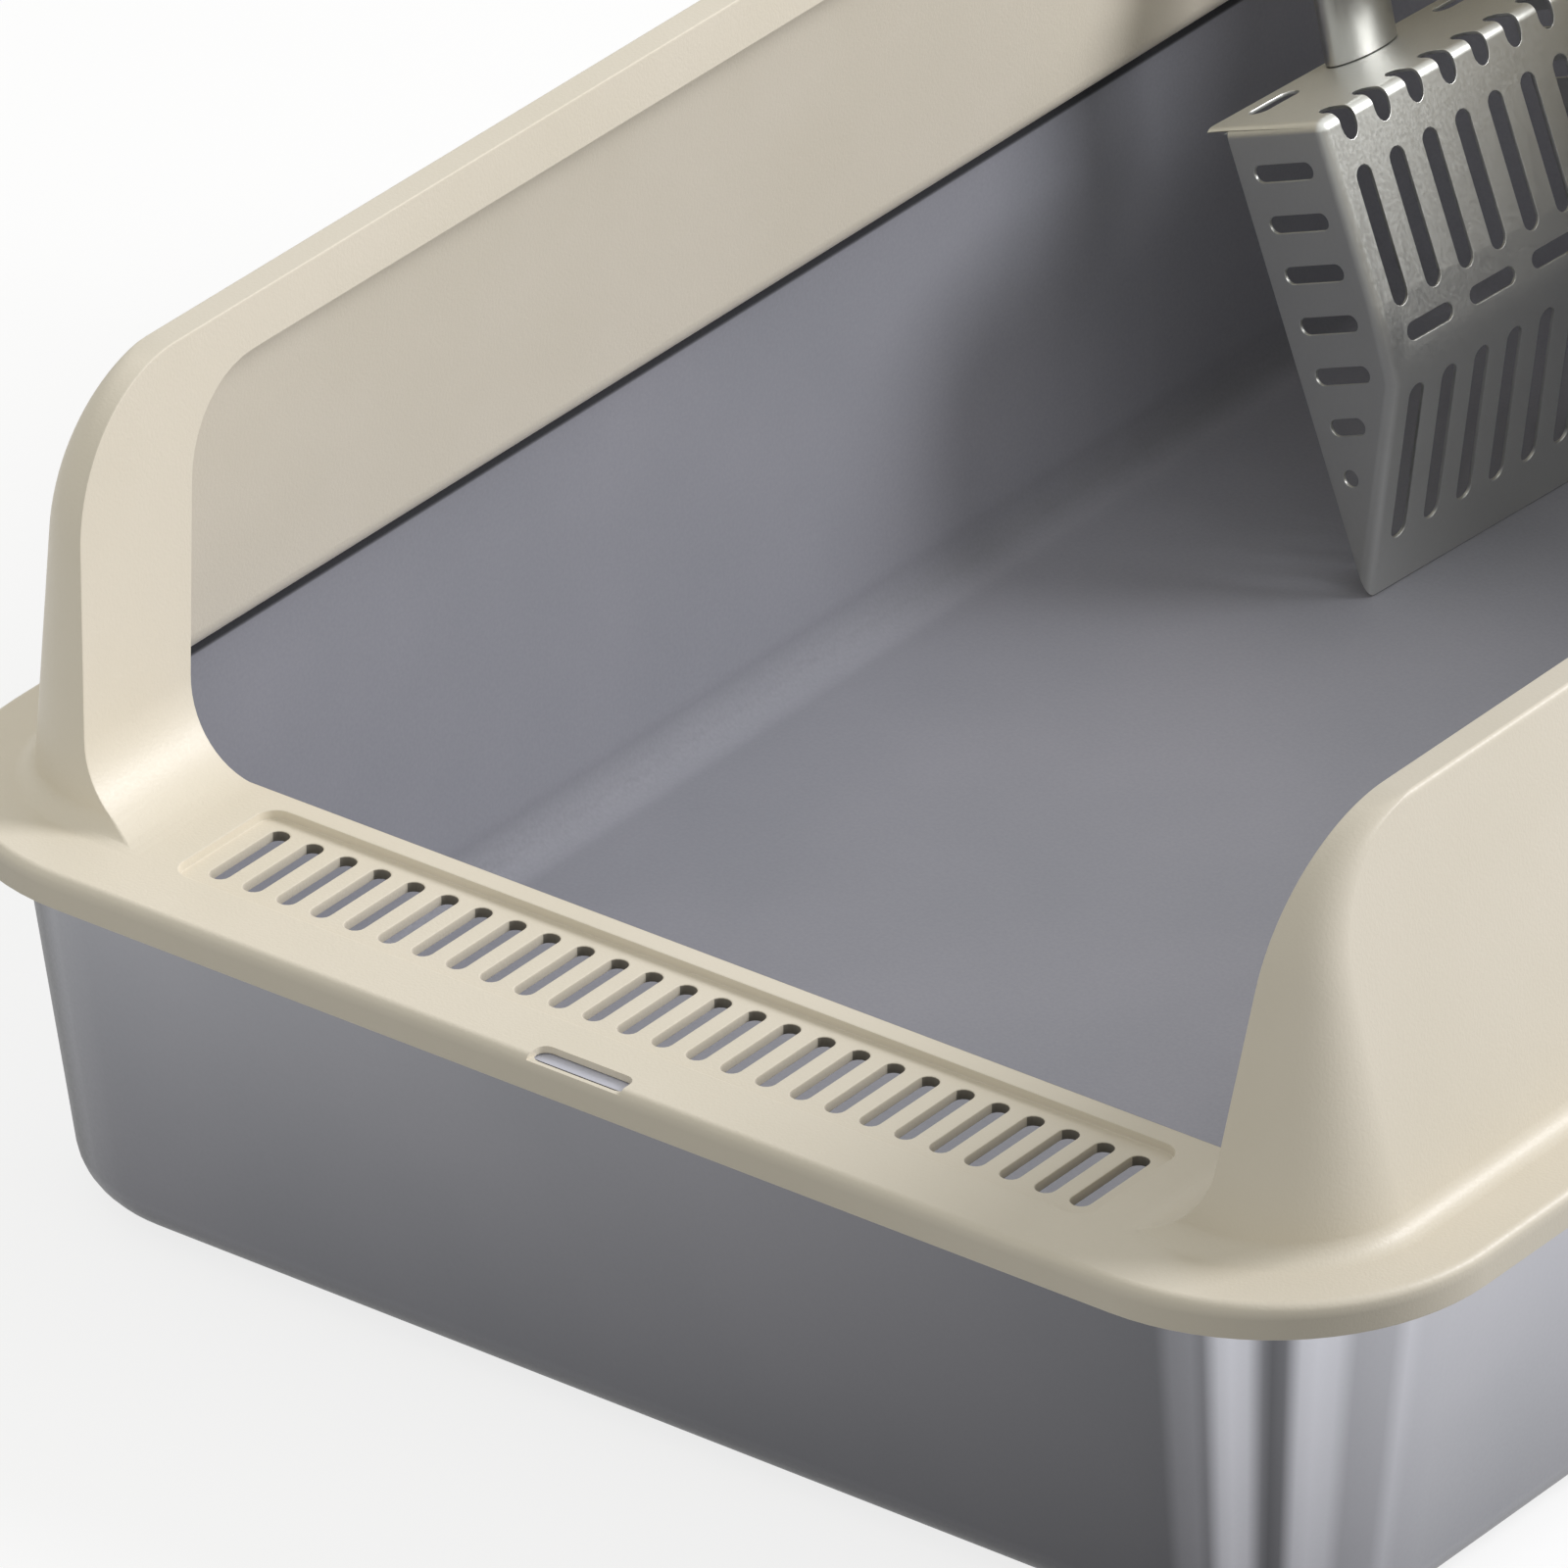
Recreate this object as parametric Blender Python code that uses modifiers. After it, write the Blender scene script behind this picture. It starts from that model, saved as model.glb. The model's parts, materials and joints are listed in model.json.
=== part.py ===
"""Stainless steel litter box with a clip-on guard and a slotted litter scoop.

Metres, +Z up. The box stands on the ground plane with its entry side facing -Y.
"""
from math import atan, atan2, copysign, cos, pi, radians, sin, sqrt, tan

import bmesh
import bpy
from mathutils import Vector

for leftover in list(bpy.context.scene.objects):
    bpy.data.objects.remove(leftover, do_unlink=True)

# Whole box
HALF_WIDTH = 0.210
HALF_LENGTH = 0.310
RIM_CORNER = 0.060
FOOT_STAND = 0.0025
TOUCH_GAP = 0.0003
CORNER_STEPS = 7

# Steel pan, sizes of its outer side
SHEET = 0.0010
PAN_DEPTH = 0.1067
PAN_WALL_INSET = 0.0116
PAN_WALL_DROP = 0.0092
PAN_DRAFT = 0.1395
PAN_CORNER = 0.0553
PAN_BOTTOM_ROUND = 0.013
PAN_FLANGE_INSET = 0.0028
PAN_FLANGE_BEND = 0.0020
ROUND_STEPS = 4

# Rubber feet under the pan
FOOT_RADIUS = 0.011
FOOT_SIDE_INSET = 0.070
FOOT_END_INSET = 0.075
FOOT_EDGE = 0.0006

# Guard: ledge, skirt and walls, heights counted from the top of the ledge
PLATE = 0.0018
SKIRT_DROP = 0.0092
SKIRT_WALL = 0.0022
LEDGE_EDGE_ROUND = 0.0020
WALL_RISE = 0.1005
WALL_SKIN = 0.0025
SIDE_LEDGE = 0.0190
FRONT_LEDGE = 0.0223
SIDE_LEAN = 0.1274
FRONT_LEAN = 0.147
FRONT_ROLL = 0.042
FOOT_FILLET = 0.0050
UNDER_ROUND = 0.0085
TOP_EDGE_ROUND = 0.0012
FRONT_CORNER_FOOT = 0.034
FRONT_CORNER_TOP = 0.004
BACK_CORNER_FOOT = 0.040
BACK_CORNER_TOP = 0.032
ROLL_STEPS = 8

# Guard opening, its sides fold inwards as a hanging band
OPENING_INSET = 0.0519
OPENING_LEAN = 0.1224
SILL_FILLET = 0.023
FILLET_STEPS = 6
BACK_STRIP = 0.0078
OPENING_BACK_CORNER = 0.024
SILL_DEPTH = 0.0612
BAND_DROP = 0.0130
BAND_EDGE_LEAN = 0.185
BAND_EDGE_ROUND = 0.027
HOLLOW_INSET = 0.0365
HOLLOW_BACK_REACH = 0.0055
HOLLOW_BACK_CORNER = 0.028
SKIN_CLEAR = 0.0001
CUT_REACH = 0.020
MERGE_DEPTH = 0.0012
SHARP_CORNER = 0.0005

# Grate in the sill
GRATE_INSET = 0.0800
GRATE_FRONT = 0.0180
GRATE_BACK = 0.0555
GRATE_SINK = 0.0024
GRATE_CORNER = 0.0050
GRATE_THICKNESS = 0.0029
GRATE_BORDER = 0.0020
SLOT_COUNT = 26
SLOT_WIDTH = 0.0050
SLOT_END_MARGIN = 0.0050
SLOT_FRONT = 0.0245
SLOT_BACK = 0.0512
SLOT_END_STEPS = 4

# Window over the front snap point
WINDOW_HALF = 0.0133
WINDOW_FRONT = 0.0013
WINDOW_BACK = 0.0066
WINDOW_DEPTH = 0.0040
WINDOW_LIP_DROP = 0.0013

# Scoop: s runs from the tip to the back plate, d from the rim to the floor, w across
SCOOP_BACK_DISTANCE = 0.1776
SCOOP_LEAN_GAP = 0.0005
SCOOP_TURN = radians(-3.2)
SCOOP_TILT = radians(22.0)
SCOOP_LENGTH = 0.1228
SCOOP_DEPTH = 0.0318
SCOOP_WIDTH = 0.1080
SCOOP_RAMP_LENGTH = 0.0540
SCOOP_RAMP_DEPTH = 0.0302
SCOOP_KNEE = 0.0745
SCOOP_PLATE_RISE = 0.0070
SCOOP_FOLD = 0.0030
SCOOP_FOLD_STEPS = 3
SCOOP_CUT_OVER = 0.020
FOLD_LIMIT = radians(35.0)

# Scoop slots
SCOOP_SLOT_COLUMNS = 8
SCOOP_SLOT_PITCH = 0.01266
SCOOP_SLOT_WIDTH = 0.0056
FLOOR_SLOT_START = 0.0718
FLOOR_SLOT_END = 0.1080
RAMP_SLOT_START = 0.0143
RAMP_SLOT_END = 0.0590
FOLD_SLOT_HALF = 0.0056
FOLD_SLOT_REACH = 0.0080
KNEE_SLOT_COUNT = 4
KNEE_SLOT_PITCH = 0.0242
KNEE_SLOT_LENGTH = 0.0175
KNEE_SLOT_WIDTH = 0.0046
KNEE_SLOT_PLACE = 0.0645
PLATE_SLOT_SIDE = 0.0185
PLATE_SLOT_LENGTH = 0.0165
PLATE_SLOT_RIM = 0.0075
SIDE_SLOT_COUNT = 7
SIDE_SLOT_PITCH = 0.0132
SIDE_SLOT_FIRST = 0.0314
SIDE_SLOT_WIDTH = 0.0045
SIDE_SLOT_RIM = 0.0054
SIDE_SLOT_FLOOR = 0.0070

# Handle, an oval steel tube closed by a plug
HANDLE_BREADTH = 0.0240
HANDLE_THICKNESS = 0.0120
HANDLE_LENGTH = 0.165
HANDLE_BEND = radians(8.0)
HANDLE_ROOT_DEPTH = 0.0060
HANDLE_SIDES = 20
PLUG_CLEAR = 0.0003
PLUG_REACH = 0.012
PLUG_HEAD = 0.0035
PLUG_HEAD_EDGE = 0.0012
PLUG_EDGE_STEPS = 2

# Sizes that follow from the ones above
PAN_BOTTOM = FOOT_STAND + TOUCH_GAP
LEDGE_TOP = PAN_BOTTOM + PAN_DEPTH
FRONT = -HALF_LENGTH
BACK = HALF_LENGTH
WALL_HALF = HALF_WIDTH - SIDE_LEDGE
PAN_FLANGE_TOP = LEDGE_TOP - PLATE - TOUCH_GAP
FOOT_X = HALF_WIDTH - FOOT_SIDE_INSET
FOOT_Y = HALF_LENGTH - FOOT_END_INSET
OPENING_FOOT = HALF_WIDTH - OPENING_INSET
HOLLOW_HALF = HALF_WIDTH - HOLLOW_INSET
GRATE_HALF = HALF_WIDTH - GRATE_INSET
SLOT_PITCH = (2 * (GRATE_HALF - SLOT_END_MARGIN) - SLOT_WIDTH) / (SLOT_COUNT - 1)
HANDLE_TILT = SCOOP_TILT - HANDLE_BEND
HANDLE_ROOT = HANDLE_ROOT_DEPTH - SCOOP_PLATE_RISE


def scoop_tip():
    """The scoop's front tip corner, with its tip on the floor and its handle on the wall's lip."""
    z = PAN_BOTTOM + SHEET + TOUCH_GAP
    lip = OPENING_FOOT + OPENING_LEAN * WALL_RISE
    root_rise = cos(SCOOP_TILT) * SCOOP_LENGTH + sin(SCOOP_TILT) * HANDLE_ROOT
    root_run = sin(SCOOP_TILT) * SCOOP_LENGTH - cos(SCOOP_TILT) * HANDLE_ROOT
    rise_to_lip = LEDGE_TOP + WALL_RISE - z - root_rise
    run = root_run + tan(HANDLE_TILT) * rise_to_lip + HANDLE_THICKNESS / 2 / cos(HANDLE_TILT)
    x = -lip + SCOOP_LEAN_GAP + run * cos(SCOOP_TURN) + sin(SCOOP_TURN) * SCOOP_WIDTH / 2
    return x, BACK - SCOOP_BACK_DISTANCE, z


def make_collection(name):
    collection = bpy.data.collections.new(name)
    bpy.context.scene.collection.children.link(collection)
    return collection


PARTS = make_collection("steel_litter_box")
CUTTERS = make_collection("cutters")


def make_material(name, colour, roughness, metallic):
    material = bpy.data.materials.new(name)
    material.use_nodes = True
    shader = material.node_tree.nodes["Principled BSDF"]
    shader.inputs["Base Color"].default_value = (*colour, 1.0)
    shader.inputs["Roughness"].default_value = roughness
    shader.inputs["Metallic"].default_value = metallic
    return material


def pan_steel():
    return make_material("brushed stainless steel", (0.55, 0.55, 0.58), 0.32, 1.0)


def guard_plastic():
    return make_material("cream polypropylene", (0.73, 0.68, 0.56), 0.45, 0.0)


def scoop_steel():
    return make_material("satin stainless steel", (0.50, 0.50, 0.50), 0.30, 1.0)


def handle_steel():
    return make_material("satin steel tube", (0.56, 0.56, 0.55), 0.28, 1.0)


def plug_plastic():
    return make_material("grey polypropylene", (0.10, 0.10, 0.11), 0.55, 0.0)


def foot_rubber():
    return make_material("grey silicone rubber", (0.16, 0.16, 0.17), 0.80, 0.0)


def add_object(name, mesh, material=None):
    """Sub-parts take a material, cutters take none."""
    body = bpy.data.objects.new(name, mesh)
    if material is None:
        CUTTERS.objects.link(body)
        body.hide_render = True
        body.display_type = "WIRE"
    else:
        PARTS.objects.link(body)
        mesh.materials.append(material)
    return body


def mesh_from(name, points, faces):
    """A closed mesh with its faces turned outwards."""
    mesh = bpy.data.meshes.new(name)
    mesh.from_pydata(points, [], faces)
    shape = bmesh.new()
    shape.from_mesh(mesh)
    bmesh.ops.recalc_face_normals(shape, faces=shape.faces)
    shape.to_mesh(mesh)
    shape.free()
    return mesh


def loft(name, rings, material=None, open_top=False):
    """Skin a pile of equal rings, the first at the bottom."""
    count = len(rings[0])
    points = [point for ring in rings for point in ring]
    faces = [tuple(reversed(range(count)))]
    for level in range(len(rings) - 1):
        low = level * count
        for step in range(count):
            following = (step + 1) % count
            faces.append((low + step, low + following,
                          low + count + following, low + count + step))
    if not open_top:
        faces.append(tuple(range(len(points) - count, len(points))))
    mesh = bpy.data.meshes.new(name)
    mesh.from_pydata(points, [], faces)
    return add_object(name, mesh, material)


def corner_ring(half_x, front, back, front_radius, back_radius, height):
    """A rounded rectangle, counterclockwise from the corner at +X and +Y."""
    ring = []
    corners = ((half_x, back, back_radius), (-half_x, back, back_radius),
               (-half_x, front, front_radius), (half_x, front, front_radius))
    for turn, (corner_x, corner_y, radius) in enumerate(corners):
        middle_x = corner_x - copysign(radius, corner_x)
        middle_y = corner_y - radius if turn < 2 else corner_y + radius
        for step in range(CORNER_STEPS + 1):
            angle = (turn + step / CORNER_STEPS) * pi / 2
            ring.append((middle_x + radius * cos(angle),
                         middle_y + radius * sin(angle), height))
    return ring


def even_ring(inset, radius, height):
    return corner_ring(HALF_WIDTH - inset, FRONT + inset, BACK - inset, radius, radius, height)


def subtract(body, cutter):
    step = body.modifiers.new("cut " + cutter.name, "BOOLEAN")
    step.operation = "DIFFERENCE"
    step.solver = "EXACT"
    step.object = cutter


def unite(body, added):
    step = body.modifiers.new("join " + added.name, "BOOLEAN")
    step.operation = "UNION"
    step.solver = "EXACT"
    step.object = added


def shade_smooth_by_angle(body, limit):
    """Round faces smooth, sharp edges kept."""
    shape = bmesh.new()
    shape.from_mesh(body.data)
    for face in shape.faces:
        face.smooth = True
    for edge in shape.edges:
        edge.smooth = edge.calc_face_angle(pi) < limit
    shape.to_mesh(body.data)
    shape.free()


def leaning_roll(foot, lean, radius, top, offset, steps):
    """A line leaning back from its foot, rolled over into a level top.

    Gives (y, height) pairs from the end of the straight run to the level top.
    """
    slope = sqrt(1.0 + lean * lean)
    height = top - radius + radius * lean / slope
    middle_y = foot + lean * height + radius / slope
    middle_height = top - radius
    start = pi - atan(lean)
    pairs = []
    for step in range(steps + 1):
        angle = start + (pi / 2 - start) * step / steps
        pairs.append((middle_y + (radius - offset) * cos(angle),
                      middle_height + (radius - offset) * sin(angle)))
    return pairs


def build_pan():
    """One drawn sheet: flange, four drafted walls and a flat floor."""
    floor = PAN_BOTTOM
    round_bottom = PAN_BOTTOM_ROUND
    drop_to_round = PAN_DEPTH - PAN_WALL_DROP - round_bottom
    lean_angle = atan(PAN_DRAFT)
    tangent_inset = PAN_WALL_INSET + PAN_DRAFT * drop_to_round
    rings = []
    for step in range(ROUND_STEPS + 1):
        angle = (pi / 2 - lean_angle) * step / ROUND_STEPS
        inset = tangent_inset + round_bottom * (cos(lean_angle) - sin(angle))
        height = floor + round_bottom * (1.0 - cos(angle))
        rings.append((inset, height))
    wall_top = PAN_FLANGE_TOP - SHEET - PAN_FLANGE_BEND
    rise = wall_top - (LEDGE_TOP - PAN_WALL_DROP)
    top_inset = PAN_WALL_INSET - PAN_DRAFT * rise
    rings.append((top_inset, wall_top))
    for step in range(1, ROUND_STEPS + 1):
        angle = pi / 2 * step / ROUND_STEPS
        rings.append((top_inset - PAN_FLANGE_BEND * (1.0 - cos(angle)),
                      wall_top + PAN_FLANGE_BEND * sin(angle)))
    rings.append((PAN_FLANGE_INSET, PAN_FLANGE_TOP - SHEET))
    corner = PAN_CORNER + PAN_WALL_INSET
    levels = [even_ring(inset, corner - inset, height) for inset, height in rings[:-1]]
    levels.append(even_ring(PAN_FLANGE_INSET, RIM_CORNER - PAN_FLANGE_INSET, rings[-1][1]))
    pan = loft("steel_pan", levels, pan_steel(), open_top=True)
    shell = pan.modifiers.new("sheet", "SOLIDIFY")
    shell.thickness = SHEET
    shell.offset = -1.0
    shell.use_even_offset = True
    shade_smooth_by_angle(pan, FOLD_LIMIT)
    return pan


def build_foot(name, x, y, material):
    bpy.ops.mesh.primitive_cylinder_add(vertices=24, radius=FOOT_RADIUS, depth=FOOT_STAND,
                                        location=(x, y, FOOT_STAND / 2))
    foot = bpy.context.object
    foot.name = name
    foot.data.name = name
    for collection in list(foot.users_collection):
        collection.objects.unlink(foot)
    PARTS.objects.link(foot)
    foot.data.materials.append(material)
    edge = foot.modifiers.new("soft edge", "BEVEL")
    edge.width = FOOT_EDGE
    edge.segments = 2
    edge.limit_method = "ANGLE"
    shade_smooth_by_angle(foot, FOLD_LIMIT)


def build_feet():
    rubber = foot_rubber()
    build_foot("rubber_foot_front_left", -FOOT_X, -FOOT_Y, rubber)
    build_foot("rubber_foot_front_right", FOOT_X, -FOOT_Y, rubber.copy())
    build_foot("rubber_foot_back_left", -FOOT_X, FOOT_Y, rubber.copy())
    build_foot("rubber_foot_back_right", FOOT_X, FOOT_Y, rubber.copy())


def wall_level(front, rise, offset, flare, edge):
    """One ring of the guard's wall block, rise counted from the ledge."""
    lean_rise = max(rise, 0.0)
    share = lean_rise / WALL_RISE
    rounding = max(rise - (WALL_RISE - edge), 0.0)
    tuck = edge - sqrt(max(edge * edge - rounding * rounding, 0.0))
    inward = SIDE_LEAN * lean_rise + offset + tuck - flare
    front_radius = FRONT_CORNER_FOOT + (FRONT_CORNER_TOP - FRONT_CORNER_FOOT) * share
    back_radius = BACK_CORNER_FOOT + (BACK_CORNER_TOP - BACK_CORNER_FOOT) * share
    return corner_ring(WALL_HALF - inward, front, BACK - SIDE_LEDGE - inward,
                       max(front_radius + flare - offset - tuck, SHARP_CORNER),
                       back_radius + flare - offset - tuck, LEDGE_TOP + rise)


def wall_block(name, offset, foot_rings, edge, material=None):
    """Walls as a solid block: a leaning front rolled over into the level top."""
    foot = FRONT + FRONT_LEDGE
    slope = sqrt(1.0 + FRONT_LEAN * FRONT_LEAN)
    rings = []
    for rise, flare in foot_rings:
        front = foot + FRONT_LEAN * max(rise, 0.0) + offset * slope - flare
        rings.append(wall_level(front, rise, offset, flare, edge))
    for front, rise in leaning_roll(foot, FRONT_LEAN, FRONT_ROLL, WALL_RISE, offset, ROLL_STEPS):
        rings.append(wall_level(front, rise, offset, 0.0, edge))
    return loft(name, rings, material)


def round_below():
    """Foot rings of the walls' hollow, wider at the ledge's underside by a round."""
    rings = [(-CUT_REACH, UNDER_ROUND)]
    for step in range(ROUND_STEPS + 1):
        angle = pi / 2 * step / ROUND_STEPS
        rings.append((UNDER_ROUND * (1.0 - cos(angle)) - PLATE - SKIN_CLEAR,
                      UNDER_ROUND * (1.0 - sin(angle))))
    return rings


def outer_walls():
    """The block outside, with a fillet where it meets the ledge."""
    fillet = [(-MERGE_DEPTH, FOOT_FILLET)]
    for step in range(ROUND_STEPS + 1):
        angle = pi / 2 * step / ROUND_STEPS
        fillet.append((FOOT_FILLET * (1.0 - cos(angle)), FOOT_FILLET * (1.0 - sin(angle))))
    walls = wall_block("guard outer walls", 0.0, fillet, TOP_EDGE_ROUND)
    return walls


def opening_block(name, offset, below):
    """The space between the walls, round where its sides meet the sill."""
    slope = sqrt(1.0 + OPENING_LEAN * OPENING_LEAN)
    tangent_rise = SILL_FILLET * (1.0 - OPENING_LEAN / slope)
    middle_x = OPENING_FOOT + OPENING_LEAN * tangent_rise - SILL_FILLET / slope
    radius = SILL_FILLET + offset
    last = pi / 2 - atan(OPENING_LEAN)
    pairs = []
    for step in range(FILLET_STEPS + 1):
        angle = last * step / FILLET_STEPS
        pairs.append((middle_x + radius * sin(angle), SILL_FILLET - radius * cos(angle)))
    if below > 0.0:
        run = (pairs[1][0] - pairs[0][0]) / (pairs[1][1] - pairs[0][1])
        pairs.insert(0, (pairs[0][0] - run * below, pairs[0][1] - below))
    above = WALL_RISE + CUT_REACH
    pairs.append((OPENING_FOOT + OPENING_LEAN * above + offset * slope, above))
    back_top = BACK - SIDE_LEDGE - SIDE_LEAN * WALL_RISE - BACK_STRIP
    rings = []
    for half_x, rise in pairs:
        back = back_top - OPENING_LEAN * (WALL_RISE - rise) + offset * slope
        rings.append(corner_ring(half_x, FRONT - CUT_REACH, back, SHARP_CORNER,
                                 OPENING_BACK_CORNER + offset, LEDGE_TOP + rise))
    return loft(name, rings)


def under_band_block():
    """The space below the hanging band and behind the inner edge of the front posts."""
    foot = FRONT + SILL_DEPTH
    back = (BACK - SIDE_LEDGE - SIDE_LEAN * WALL_RISE - BACK_STRIP
            + HOLLOW_BACK_REACH)
    pairs = [(foot, -CUT_REACH), (foot, 0.0)]
    pairs += leaning_roll(foot, BAND_EDGE_LEAN, BAND_EDGE_ROUND, WALL_RISE - BAND_DROP,
                          0.0, ROUND_STEPS + 2)
    rings = [corner_ring(HOLLOW_HALF, front, back, SHARP_CORNER, HOLLOW_BACK_CORNER,
                         LEDGE_TOP + rise) for front, rise in pairs]
    return loft("space under band", rings)


def ledge_solid(material):
    """The flat ledge with its skirt, still without openings."""
    rings = [even_ring(0.0, RIM_CORNER, LEDGE_TOP - SKIRT_DROP)]
    for step in range(ROUND_STEPS):
        angle = pi / 2 * step / (ROUND_STEPS - 1)
        inset = LEDGE_EDGE_ROUND * (1.0 - cos(angle))
        rings.append(even_ring(inset, RIM_CORNER - inset,
                               LEDGE_TOP - LEDGE_EDGE_ROUND * (1.0 - sin(angle))))
    return loft("guard_frame", rings, material)


def skirt_hollow():
    low = LEDGE_TOP - SKIRT_DROP - CUT_REACH
    high = LEDGE_TOP - PLATE
    return loft("skirt hollow", [even_ring(SKIRT_WALL, RIM_CORNER - SKIRT_WALL, height)
                                 for height in (low, high)])


def pill_outline(length, width, steps):
    """Round-ended slot outline along its own first axis, centred on zero."""
    radius = width / 2
    reach = length / 2 - radius
    outline = []
    for end, start in ((reach, -pi / 2), (-reach, pi / 2)):
        for step in range(steps + 1):
            angle = start + pi * step / steps
            outline.append((end + radius * cos(angle), radius * sin(angle)))
    return outline


def pill_cutter(name, places, steps):
    """Slot cutters in one mesh.

    A place gives a centre, the long, the cross and the through axis, length,
    width and how far the cutter reaches on both sides.
    """
    points = []
    faces = []
    for centre, along, across, through, length, width, reach in places:
        outline = pill_outline(length, width, steps)
        first = len(points)
        count = len(outline)
        for side in (-reach, reach):
            for run, offset in outline:
                points.append(tuple(centre + along * run + across * offset + through * side))
        faces.append(tuple(reversed(range(first, first + count))))
        faces.append(tuple(range(first + count, first + 2 * count)))
        for step in range(count):
            following = (step + 1) % count
            faces.append((first + step, first + following,
                          first + count + following, first + count + step))
    return add_object(name, mesh_from(name, points, faces))


def grate_block(name, border, low, high):
    """The grate's outline between two heights counted from the ledge."""
    corner = GRATE_CORNER + border
    return loft(name, [corner_ring(GRATE_HALF + border, FRONT + GRATE_FRONT - border,
                                   FRONT + GRATE_BACK + border, corner, corner,
                                   LEDGE_TOP + height) for height in (low, high)])


def grate_slots():
    middle = FRONT + (SLOT_FRONT + SLOT_BACK) / 2
    reach = GRATE_SINK + GRATE_THICKNESS + PLATE
    places = []
    for column in range(SLOT_COUNT):
        x = (column - (SLOT_COUNT - 1) / 2) * SLOT_PITCH
        places.append((Vector((x, middle, LEDGE_TOP)), Vector((0, 1, 0)), Vector((-1, 0, 0)),
                       Vector((0, 0, 1)), SLOT_BACK - SLOT_FRONT, SLOT_WIDTH, reach))
    return pill_cutter("grate slots", places, SLOT_END_STEPS)


def snap_window():
    middle = FRONT + (WINDOW_FRONT + WINDOW_BACK) / 2
    place = (Vector((0, middle, LEDGE_TOP)), Vector((1, 0, 0)), Vector((0, 1, 0)),
             Vector((0, 0, 1)), WINDOW_HALF * 2, WINDOW_BACK - WINDOW_FRONT, WINDOW_DEPTH)
    return pill_cutter("snap window", [place], SLOT_END_STEPS)


def window_lip():
    """Lowers the narrow strip between the window and the skirt's face."""
    back = FRONT + (WINDOW_FRONT + WINDOW_BACK) / 2
    return loft("window lip", [corner_ring(WINDOW_HALF, FRONT - WINDOW_DEPTH, back, SHARP_CORNER,
                                           SHARP_CORNER, LEDGE_TOP + height)
                               for height in (-WINDOW_LIP_DROP, WINDOW_DEPTH)])


def build_guard():
    """One moulding: ledge and skirt joined with hollow walls, then opened."""
    guard = ledge_solid(guard_plastic())
    subtract(guard, skirt_hollow())
    walls = outer_walls()
    subtract(walls, opening_block("wall opening", 0.0, MERGE_DEPTH * 2))
    unite(guard, walls)
    hollow = wall_block("wall hollow", WALL_SKIN, round_below(), 0.0)
    subtract(hollow, opening_block("skin keeper", WALL_SKIN + SKIN_CLEAR, 0.0))
    subtract(guard, hollow)
    subtract(guard, under_band_block())
    unite(guard, grate_block("grate pan", GRATE_BORDER, -GRATE_SINK - GRATE_THICKNESS,
                             -PLATE / 2))
    subtract(guard, grate_block("grate recess", 0.0, -GRATE_SINK, GRATE_SINK))
    subtract(guard, grate_slots())
    subtract(guard, snap_window())
    subtract(guard, window_lip())
    return guard


def add_empty(name, parent, location, rotation):
    holder = bpy.data.objects.new(name, None)
    PARTS.objects.link(holder)
    holder.parent = parent
    holder.location = location
    holder.rotation_euler = rotation
    return holder


def scoop_outline(offset):
    """Side view of the bowl as (s, d) points, offset inwards."""
    ramp = atan2(SCOOP_RAMP_DEPTH, SCOOP_RAMP_LENGTH)
    over = SCOOP_CUT_OVER
    tip_s = offset / sin(ramp)
    start = (tip_s - over / SCOOP_RAMP_DEPTH * SCOOP_RAMP_LENGTH, -over)
    knee = atan2(SCOOP_DEPTH - SCOOP_RAMP_DEPTH, SCOOP_KNEE - SCOOP_RAMP_LENGTH)
    half = (ramp + knee) / 2
    pull = offset / cos((ramp - knee) / 2)
    low = (SCOOP_RAMP_LENGTH + pull * sin(half), SCOOP_RAMP_DEPTH - pull * cos(half))
    pull = offset / cos(knee / 2)
    high = (SCOOP_KNEE + pull * sin(knee / 2), SCOOP_DEPTH - pull * cos(knee / 2))
    end = SCOOP_LENGTH - offset
    return [start, low, high, (end, SCOOP_DEPTH - offset), (end, -over)]


def scoop_prism(name, offset, material=None):
    outline = scoop_outline(offset)
    count = len(outline)
    points = [(s, d, w) for w in (offset, SCOOP_WIDTH - offset) for s, d in outline]
    faces = [tuple(reversed(range(count))), tuple(range(count, 2 * count))]
    for step in range(count):
        following = (step + 1) % count
        faces.append((step, following, count + following, count + step))
    body = add_object(name, mesh_from(name, points, faces), material)
    fold = body.modifiers.new("folds", "BEVEL")
    fold.width = SCOOP_FOLD - offset
    fold.segments = SCOOP_FOLD_STEPS
    fold.limit_method = "ANGLE"
    fold.angle_limit = FOLD_LIMIT
    return body


def rim_trim():
    """Cuts the sides level with the rim, and the back plate at its own height."""
    outline = [(-SCOOP_LENGTH, 0.0), (SCOOP_LENGTH - SHEET, 0.0),
               (SCOOP_LENGTH - SHEET, -SCOOP_PLATE_RISE),
               (SCOOP_LENGTH + SCOOP_CUT_OVER, -SCOOP_PLATE_RISE),
               (SCOOP_LENGTH + SCOOP_CUT_OVER, -SCOOP_CUT_OVER * 2),
               (-SCOOP_LENGTH, -SCOOP_CUT_OVER * 2)]
    count = len(outline)
    sides = (-SCOOP_CUT_OVER, SCOOP_WIDTH + SCOOP_CUT_OVER)
    points = [(s, d, w) for w in sides for s, d in outline]
    faces = [tuple(reversed(range(count))), tuple(range(count, 2 * count))]
    for step in range(count):
        following = (step + 1) % count
        faces.append((step, following, count + following, count + step))
    return add_object("rim trim", mesh_from("rim trim", points, faces))


def column_places():
    first = SCOOP_WIDTH / 2 - SCOOP_SLOT_PITCH * (SCOOP_SLOT_COLUMNS - 1) / 2
    return [first + SCOOP_SLOT_PITCH * column for column in range(SCOOP_SLOT_COLUMNS)]


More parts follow.
